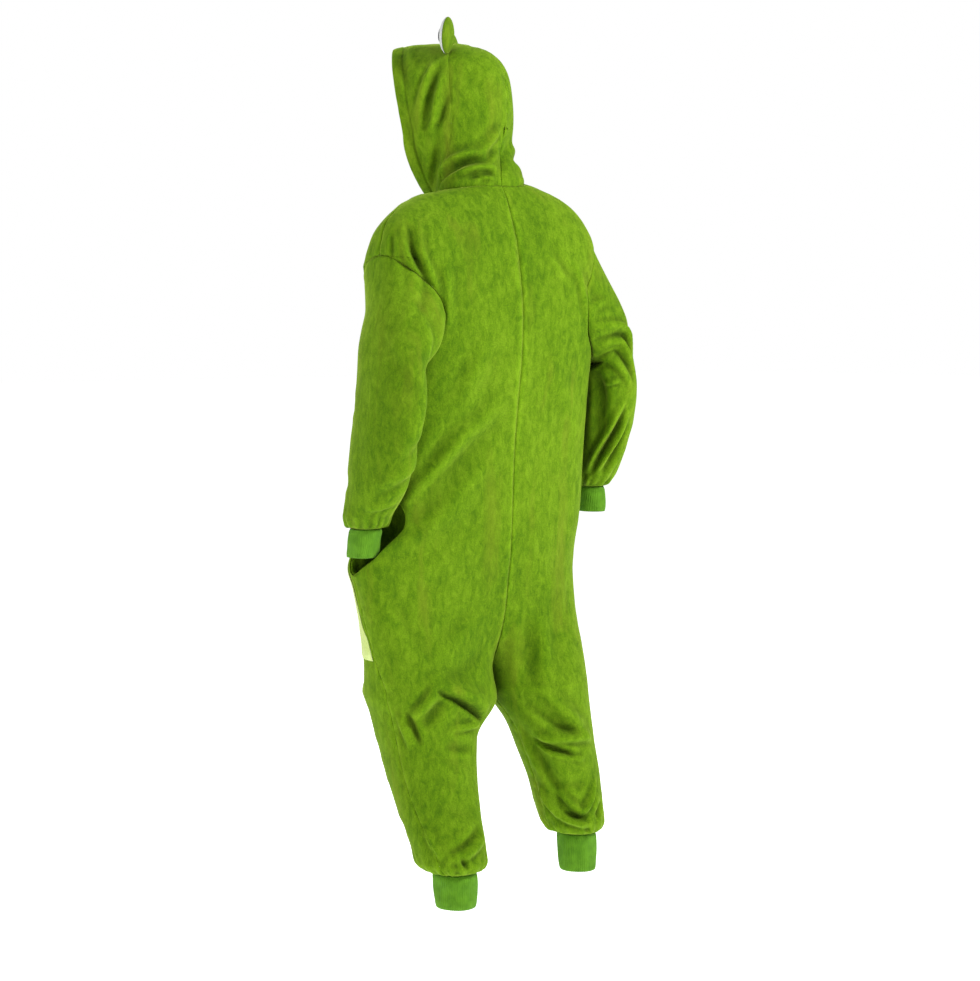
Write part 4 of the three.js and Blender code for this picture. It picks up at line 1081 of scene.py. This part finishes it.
# The cuffs and sleeves.
def cuff_ring(ring, shape, side, ribs, rows=22):
    """Points and normals of a ribbed cuff that goes on from a ring of points."""
    length, lean_x, lean_y = shape
    centre = ring.mean(0)
    count = len(ring)
    out = ring - centre
    flat = out.copy()
    flat[:, 2] = 0
    radial = unit(flat)
    share = np.linspace(0, 1, rows)
    scale = read(CUFF_SWELL, "share", "scale", share)[:, None, None]
    shift = share[:, None, None] * np.array([side * lean_x, lean_y, -length], float)
    points = centre + out * scale + shift
    rib_wave = np.abs(np.sin(np.pi * ribs * np.arange(count) / count))
    height = rib_wave - 0.5
    edge_roll = bump_at((1 - share) * length, 4.0)
    root = 1 - 0.6 * bump_at(share * length, 5.0)
    normals = np.broadcast_to(radial, points.shape)
    sag = 0.8 * ripple(points, 45, CUFF_SEED + side)
    lift = height[None, :] * root[:, None] + sag - edge_roll[:, None]
    return points + normals * lift[..., None], normals


def make_cuff(kind, side, surface, level, columns, shape, ribs):
    """A ribbed cuff on the end of a leg or sleeve."""
    around = np.arange(columns) / columns
    ring = surface.point(around, np.full(columns, level, float))
    points, normals = cuff_ring(ring, shape, side, ribs)
    name = SIDE_NAME[side]
    piece = cloth_object(f"{kind}_rib_{name}", points, normals, True, rib, CUFF_WALL)
    dress(piece, f"{kind}_cuff_{name}", held="stretched", slot="knit", **cut(f"{kind}_cuff"))


def make_sleeve(side, columns=108, gathered_rows=26):
    """A sleeve from its armhole to its wrist seam, with closer rows at the gathers."""
    upper = np.linspace(0, 0.9, row_count(420))[:-1]
    share = np.concatenate([upper, np.linspace(0.9, 1, gathered_rows)])[:, None]
    around = (np.arange(columns) / columns)[None, :]
    share, around = np.broadcast_arrays(share, around)
    points, normals = sleeve[side].sample(around, share)
    away = (1 - share) * SLEEVE_LENGTH[side]
    points = points + normals * gathers(around, away, seed=2.1 * side, **SLEEVE_GATHERS)[..., None]
    wrist_line = sleeve[side].point(np.linspace(0, 1, 60), np.full(60, 1.0))
    seams = [lines[side]["armhole"], wrist_line]
    points = finish_cloth(points, normals, seams, SLEEVE_SEED + side, 0.9)
    name = SIDE_NAME[side]
    piece = cloth_object(f"sleeve_cloth_{name}", points, normals, True, green, CLOTH_WALL)
    dress(piece, f"sleeve_{name}", held="hung", slot="velour", **cut("sleeve"))


for side in SIDES:
    hem = LEGS[side]["level"][0]
    make_cuff("ankle", side, body[side], hem, ANKLE_COLUMNS, ANKLE_CUFFS[side], ANKLE_RIBS)
    make_sleeve(side)
    make_cuff("wrist", side, sleeve[side], 1.0, WRIST_COLUMNS, WRIST_CUFFS[side], WRIST_RIBS)


# The hood's four panels.
def lapped(points, turn, row, side, middle_lines):
    """The halves lap a little at the middle seams, and the lower edge tucks inside the neckline."""
    yaw = np.radians(read(HOOD, "share", "yaw", turn))
    outwards = side * stack(np.cos(yaw), np.sin(yaw), 0 * yaw)
    lap = HOOD_LAP * bump_at(nearest(points, middle_lines), HOOD_LAP_REACH)
    points = points - outwards * lap[..., None]
    points[..., 2] -= NECK_TUCK * (1 - smooth(row / NECK_TUCK_SHARE))
    return points


def face_hem(away):
    """How far the doubled hem of the open edge stands out, with its row of stitches pulled in."""
    stitch = -HEM_STITCH_DEPTH * bump_at(away - FACE_HEM, 1.8)
    doubled = HEM_FULLNESS * smooth((FACE_HEM - away) / 4) * (1 - bump_at(away, 3))
    return stitch + doubled


def make_hood(side, row_total=84, line_points=130):
    name = SIDE_NAME[side]
    split = HOOD_SPLIT[side]
    rows = spread(row_total, 0.3)[:, None]
    fine = np.linspace(0, 1, line_points)
    ends = np.ones_like(fine)
    split_line = hood[side].point(split * ends, fine)
    top_line = hood[side].point(fine, ends)
    face_line = hood[side].point(0 * ends, fine)
    nape_line = hood[side].point(ends, fine)
    for kind, first, last, columns in (("hood_front", 0.0, split, 58), ("hood_back", split, 1.0, 66)):
        turn = first + (last - first) * spread(columns, 0.3)[None, :]
        turn, row = np.broadcast_arrays(turn, rows)
        points, normals = hood[side].sample(turn, row)
        seams = [split_line, top_line, lines[side]["neck"]]
        if kind == "hood_back":
            seams.append(nape_line)
        points = finish_cloth(points, normals, seams, HOOD_SEED + side + int(10 * first), 0.9)
        points = lapped(points, turn, row, side, np.concatenate([nape_line, top_line]))
        if kind == "hood_front":
            points = points + normals * face_hem(nearest(points, face_line))[..., None]
        piece = cloth_object(f"{kind}_cloth_{name}", points, normals, False, green, CLOTH_WALL)
        dress(piece, f"{kind}_{name}", held="draped", slot="velour", **cut(kind))


for side in SIDES:
    make_hood(side)


# The pale belly panels, laid on the fronts.
def belly_panel(side, rows=150, columns=44):
    levels = (BELLY_BOTTOM + (BELLY_TOP - BELLY_BOTTOM) * spread(rows, 0.3))[:, None]
    placket = read(EDGES, "level", "placket", levels)
    edge = side_edge(side, levels, -1)
    belly = np.minimum(read(EDGES, "level", "belly", levels), edge * BELLY_REACH)
    turn = placket + (belly - placket) * spread(columns, 0.4)[None, :]
    levels = np.broadcast_to(levels, turn.shape)
    points, normals = body[side].sample(turn, levels)
    points = finish_cloth(points, normals, [lines[side]["centre_front"]], BODY_SEED + side - 2)
    rim = np.concatenate([points[0], points[-1], points[:, 0], points[:, -1]])
    away = nearest(points, rim)
    lift = PATCH_WALL + LAYER_GAP + 1.1 * smooth(away / 7) - 0.9 * bump_at(away - 4, 1.6)
    return points + normals * lift[..., None], normals


for side in SIDES:
    name = SIDE_NAME[side]
    points, normals = belly_panel(side)
    piece = cloth_object(f"belly_cloth_{name}", points, normals, False, pale, PATCH_WALL)
    dress(piece, f"belly_{name}", held="laid", slot="belly", rests_on=[f"front_panel_{name}"], **cut("belly"))


# The button strip down the front.
def strip_points(levels, across):
    """Points and normals over the centre front, across from -1 to 1."""
    edge = read(EDGES, "level", "placket", levels)
    both = []
    for side in SIDES:
        both.append(body[side].sample(np.abs(across) * edge, levels))
    on_left = (across > 0)[..., None]
    centre = np.clip(1 - np.abs(across), 0, 1)[..., None]
    points = np.where(on_left, both[0][0], both[1][0])
    own = np.where(on_left, both[0][1], both[1][1])
    mean = unit(both[0][1] + both[1][1])
    return points, unit(own * (1 - centre) + mean * centre)


STRIP_LIFT = LAYER_GAP + CLOTH_WALL
STRIP_TOP = NECK_LEVEL - 14


def make_strip(rows=210, columns=19):
    levels = (BELLY_BOTTOM + (STRIP_TOP - BELLY_BOTTOM) * spread(rows, 0.2))[:, None]
    levels, across = np.broadcast_arrays(levels, np.linspace(-1, 1, columns)[None, :])
    points, normals = strip_points(levels, across)
    rim = np.concatenate([points[:, 0], points[:, -1], points[0], points[-1]])
    away = nearest(points, rim)
    lift = STRIP_LIFT + 0.6 * smooth(away / 5) - 0.8 * bump_at(away - 5, 1.5)
    lift = lift + 0.5 * ripple(points, 40, STRIP_SEED)
    points = points + normals * lift[..., None]
    piece = cloth_object("button_strip", points, normals, False, green, CLOTH_WALL)
    under = ["front_panel_left", "front_panel_right"]
    dress(piece, "placket", held="laid", slot="velour", rests_on=under, **cut("placket"))


make_strip()


def lathe(profile, count):
    """Vertices and faces of a profile of (radius, height) turned about z, closed at both ends on the axis."""
    angle = 2 * np.pi * np.arange(count) / count
    ring = np.stack([np.cos(angle), np.sin(angle)], 1)
    vertices = []
    for radius, height in profile[1:-1]:
        vertices += [(radius * x, radius * y, height) for x, y in ring]
    low = len(vertices)
    vertices.append((0, 0, profile[0][1]))
    high = len(vertices)
    vertices.append((0, 0, profile[-1][1]))
    faces = [tuple(f) for f in grid_faces(len(profile) - 2, count, True)]
    last = (len(profile) - 3) * count
    for i in range(count):
        j = (i + 1) % count
        faces.append((low, j, i))
        faces.append((high, last + i, last + j))
    return np.array(vertices, float), faces


def placed(vertices, origin, x_axis, y_axis, z_axis):
    """Vertices in a piece's own axes as points above the ground."""
    return origin + vertices @ np.array([x_axis, y_axis, z_axis], float)


# Outlines as radius and height: a button with its dish, and one bar of the thread that crosses it.
BUTTON_PROFILE = [
    (0, 0), (7.6, 0), (8.7, 0.5), (9, 1.4), (8.8, 2.4), (8.2, 2.95), (7.5, 3.0), (6.6, 2.6), (5.8, 1.9),
    (4.5, 1.75), (0, 1.75),
]
THREAD_PROFILE = [(0, -3.6), (0.6, -3.5), (0.8, -2.4), (0.8, 2.4), (0.6, 3.5), (0, 3.6)]
THREAD_HEIGHT = 2.1


def thread_bar(degrees):
    """A bar of thread that lies across the button's dish."""
    bar, faces = lathe(THREAD_PROFILE, 10)
    way = math.radians(degrees)
    bar = bar[:, [2, 0, 1]] @ np.array(
        [[math.cos(way), math.sin(way), 0], [-math.sin(way), math.cos(way), 0], [0, 0, 1]]
    )
    bar[:, 2] += THREAD_HEIGHT
    return bar, faces


def make_button(number, level):
    seats, normals = strip_points(np.array([float(level)]), np.array([0.0]))
    normal = normals[0]
    seat = seats[0] + normal * (STRIP_LIFT + LAYER_GAP)
    across = unit(np.cross(np.array([0, 0, 1.0]), normal))
    up = np.cross(normal, across)
    vertices, faces = lathe(BUTTON_PROFILE, 48)
    button_faces = len(faces)
    for degrees in (45, 135):
        bar, bar_faces = thread_bar(degrees)
        start = len(vertices)
        vertices = np.concatenate([vertices, bar])
        faces += [tuple(v + start for v in f) for f in bar_faces]
    vertices = placed(vertices, seat, across, up, normal)
    piece = mesh_object(f"sewn_button_{number}", local(vertices), faces, [rib, thread])
    for polygon in piece.data.polygons[button_faces:]:
        polygon.material_index = 1
    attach(piece, "root")
    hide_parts(f"button_{number}")


for number, level in enumerate(BUTTON_LEVELS, 1):
    make_button(number, level)


# The padded eyes.
def lens(depth, rings=20, count=96):
    """One half of a padded eye, one unit in radius: crowned in front, flat behind, pulled in at its seam."""
    angle = 2 * np.pi * np.arange(count) / count
    vertices = []
    radii = np.sin(np.linspace(0, np.pi / 2, rings + 1))[1:]
    for radius in radii:
        crown = depth * (1 - radius**2.8) ** 0.62
        pucker = 0.35 * radius**10 * np.sin(angle * 21) + 0.25 * radius**4 * np.sin(angle * 5 + depth)
        for a, p in zip(angle, pucker):
            vertices.append((radius * np.cos(a), crown + p * (1 - radius) * 6, radius * np.sin(a)))
    faces = [tuple(f) for f in grid_faces(rings, count, True)]
    top = len(vertices)
    vertices.append((0, depth, 0))
    base = len(vertices)
    vertices.append((0, 0, 0))
    last = (rings - 1) * count
    for i in range(count):
        j = (i + 1) % count
        faces.append((top, j, i))
        faces.append((base, last + i, last + j))
    return np.array(vertices, float), faces


def pupil_profile(r, t):
    """A felt disc's outline as radius and height, with a stitched groove near its rim."""
    return [
        (0, 0),
        (r - 0.4, 0),
        (r, 0.5),
        (r, t - 0.7),
        (r - 0.5, t - 0.1),
        (r - 1.4, t),
        (r - 2.2, t - 0.5),
        (r - 3.0, t),
        (r * 0.5, t + 0.1),
        (0, t + 0.1),
    ]


def make_eye(side):
    """Both halves of a padded eye on the hood's cross seam, and the pupil on its front."""
    name = SIDE_NAME[side]
    seats, normals = hood[side].sample(np.array([HOOD_SPLIT[side]]), np.array([EYE_ROW]))
    up = unit(between(normals[0], np.array([0, 0, 1.0]), EYE_UPRIGHT))
    yaw = math.radians(float(read(HOOD, "share", "yaw", HOOD_SPLIT[side])) - EYE_TURN)
    facing = np.array([math.sin(yaw), -math.cos(yaw), 0])
    facing = unit(facing - up * (facing @ up))
    aside = np.cross(facing, up)
    origin = seats[0] + up * (LAYER_GAP + EYE_HEIGHT / 2)
    for kind, way, material, slot in (("front", 1, white, "white"), ("back", -1, green, "velour")):
        vertices, faces = lens(EYE_HALF_DEPTH)
        vertices[:, 0] *= EYE_WIDTH / 2
        vertices[:, 2] *= EYE_HEIGHT / 2
        fullness = EYE_FRONT_FULLNESS if way > 0 else 1.0
        vertices[:, 1] = way * (vertices[:, 1] * fullness + 0.1)
        if way > 0:
            faces = [f[::-1] for f in faces]
        vertices = placed(vertices, origin, aside, facing, up)
        piece = mesh_object(f"eye_pad_{kind}_{name}", local(vertices), faces, [material])
        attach(piece, "root")
        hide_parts(f"eye_{kind}_{name}")
    vertices, faces = lathe(pupil_profile(PUPIL_RADIUS, PUPIL_THICKNESS), 64)
    origin = origin + facing * (EYE_HALF_DEPTH * EYE_FRONT_FULLNESS + LAYER_GAP)
    vertices = placed(vertices, origin, aside, -up, facing)
    piece = mesh_object(f"pupil_felt_{name}", local(vertices), faces, [black])
    under = [f"eye_pad_front_{name}"]
    dress(piece, f"pupil_{name}", held="laid", slot="black", rests_on=under, **cut("pupil"))


for side in SIDES:
    make_eye(side)


# The pocket bags.
def pocket_points(side, rows=26, half_count=26):
    """Points of a pocket's bag in rings, from its mouth in the side seam down to its closed end."""
    shape = POCKETS[side]
    levels = eased(POCKET_LOW, POCKET_HIGH, half_count)
    front = body[side].point(side_edge(side, levels, -1), levels)
    back = body[side].point(side_edge(side, levels, 1), levels)[::-1][1:-1]
    rim = np.concatenate([front, back])
    centre = rim.mean(0)
    count = len(rim)
    around = np.sin(2 * np.pi * np.arange(count) / count)
    share = np.linspace(0, 0.96, rows)[:, None]
    closing = smooth((share - 0.7) / 0.3)
    scale = POCKET_RIM_SCALE - POCKET_NARROWING * share - POCKET_CLOSING * closing
    way = (rim - centre)[None] * scale[..., None]
    half = share * shape["thick"] * around[None, :]
    inset = CLOTH_WALL + POCKET_TUCK + shape["depth"] * np.minimum(1, share * shape["turn_in"])
    points = centre + way
    points[..., 0] -= side * (inset + half + 0.55 * np.maximum(0, side * way[..., 0]) * share)
    points[..., 1] -= share * POCKET_FORWARD
    points[..., 2] -= shape["fall"] * smooth(share)
    return points


def make_pocket(side):
    name = SIDE_NAME[side]
    points = pocket_points(side)
    rows, count = points.shape[:2]
    faces = [tuple(f) for f in grid_faces(rows, count, True)]
    vertices = np.concatenate([points.reshape(-1, 3), points[-1].mean(0)[None]])
    last_ring = (rows - 1) * count
    end = rows * count
    for i in range(count):
        faces.append((last_ring + i, last_ring + (i + 1) % count, end))
    piece = mesh_object(f"pocket_bag_{name}", local(vertices), faces, [green])
    solid = piece.modifiers.new("wall", "SOLIDIFY")
    solid.thickness = CLOTH_WALL * MM
    solid.offset = -1
    dress(piece, f"pocket_{name}", held="hung", slot="velour", **cut(f"pocket_{name}"))


for side in SIDES:
    make_pocket(side)


# The room: a pale floor, an even pale surround, soft lights and the camera.
def make_floor():
    bpy.ops.mesh.primitive_plane_add(size=FLOOR_SIZE, location=(0, 0, -MOUNT_HEIGHT * MM))
    floor = bpy.context.object
    floor.name = "floor"
    material, _, _, shader = new_material("pale floor")
    shader.inputs["Base Color"].default_value = (0.86, 0.86, 0.85, 1)
    shader.inputs["Roughness"].default_value = 0.8
    shader.inputs["Emission Color"].default_value = (1.0, 1.0, 1.0, 1)
    shader.inputs["Emission Strength"].default_value = 0.92
    floor.data.materials.append(material)


def make_surround():
    """White behind the garment for the camera, and much dimmer as light."""
    world = bpy.data.worlds.new("room")
    bpy.context.scene.world = world
    world.use_nodes = True
    nodes = world.node_tree.nodes
    links = world.node_tree.links
    dim = nodes["Background"]
    dim.inputs["Color"].default_value = (1.0, 1.0, 1.0, 1)
    dim.inputs["Strength"].default_value = 0.2
    bright = nodes.new("ShaderNodeBackground")
    bright.inputs["Color"].default_value = (1.0, 1.0, 1.0, 1)
    bright.inputs["Strength"].default_value = 1.0
    path = nodes.new("ShaderNodeLightPath")
    mixed = nodes.new("ShaderNodeMixShader")
    links.new(path.outputs["Is Camera Ray"], mixed.inputs["Fac"])
    links.new(dim.outputs["Background"], mixed.inputs[1])
    links.new(bright.outputs["Background"], mixed.inputs[2])
    links.new(mixed.outputs["Shader"], nodes["World Output"].inputs["Surface"])


towards_camera = Vector((math.sin(VIEW_TURN), -math.cos(VIEW_TURN), 0))
camera_right = Vector((math.cos(VIEW_TURN), math.sin(VIEW_TURN), 0))


def soft_light(name, ahead, aside, height, size, power):
    """A square light that faces the garment, placed from it towards the camera and to the camera's right."""
    light = bpy.data.lights.new(name, "AREA")
    light.shape = "SQUARE"
    light.size = size
    light.energy = power
    made = bpy.data.objects.new(name, light)
    bpy.context.scene.collection.objects.link(made)
    made.location = towards_camera * ahead + camera_right * aside + Vector((0, 0, height))
    made.rotation_euler = (Vector(LIGHT_AIM) - made.location).to_track_quat("-Z", "Y").to_euler()


def make_camera():
    data = bpy.data.cameras.new("camera")
    camera = bpy.data.objects.new("camera", data)
    bpy.context.scene.collection.objects.link(camera)
    camera.location = towards_camera * CAMERA_DISTANCE
    camera.location.z = CAMERA_HEIGHT - MOUNT_HEIGHT * MM
    aim = -towards_camera * math.cos(CAMERA_TILT) + Vector((0, 0, -math.sin(CAMERA_TILT)))
    camera.rotation_euler = aim.to_track_quat("-Z", "Y").to_euler()
    data.sensor_width = 36
    data.lens = CAMERA_LENS
    data.shift_y = CAMERA_SHIFT
    bpy.context.scene.camera = camera


make_floor()
make_surround()
soft_light("key light", 1.5, 2.6, 1.7, 1.0, 120)
soft_light("fill light", 1.6, -2.8, 1.0, 1.0, 30)
soft_light("front light", -2.6, -0.6, 1.0, 1.6, 34)
soft_light("top light", -0.6, -0.8, 2.4, 1.6, 22)
make_camera()
bpy.context.scene.view_settings.view_transform = "Standard"
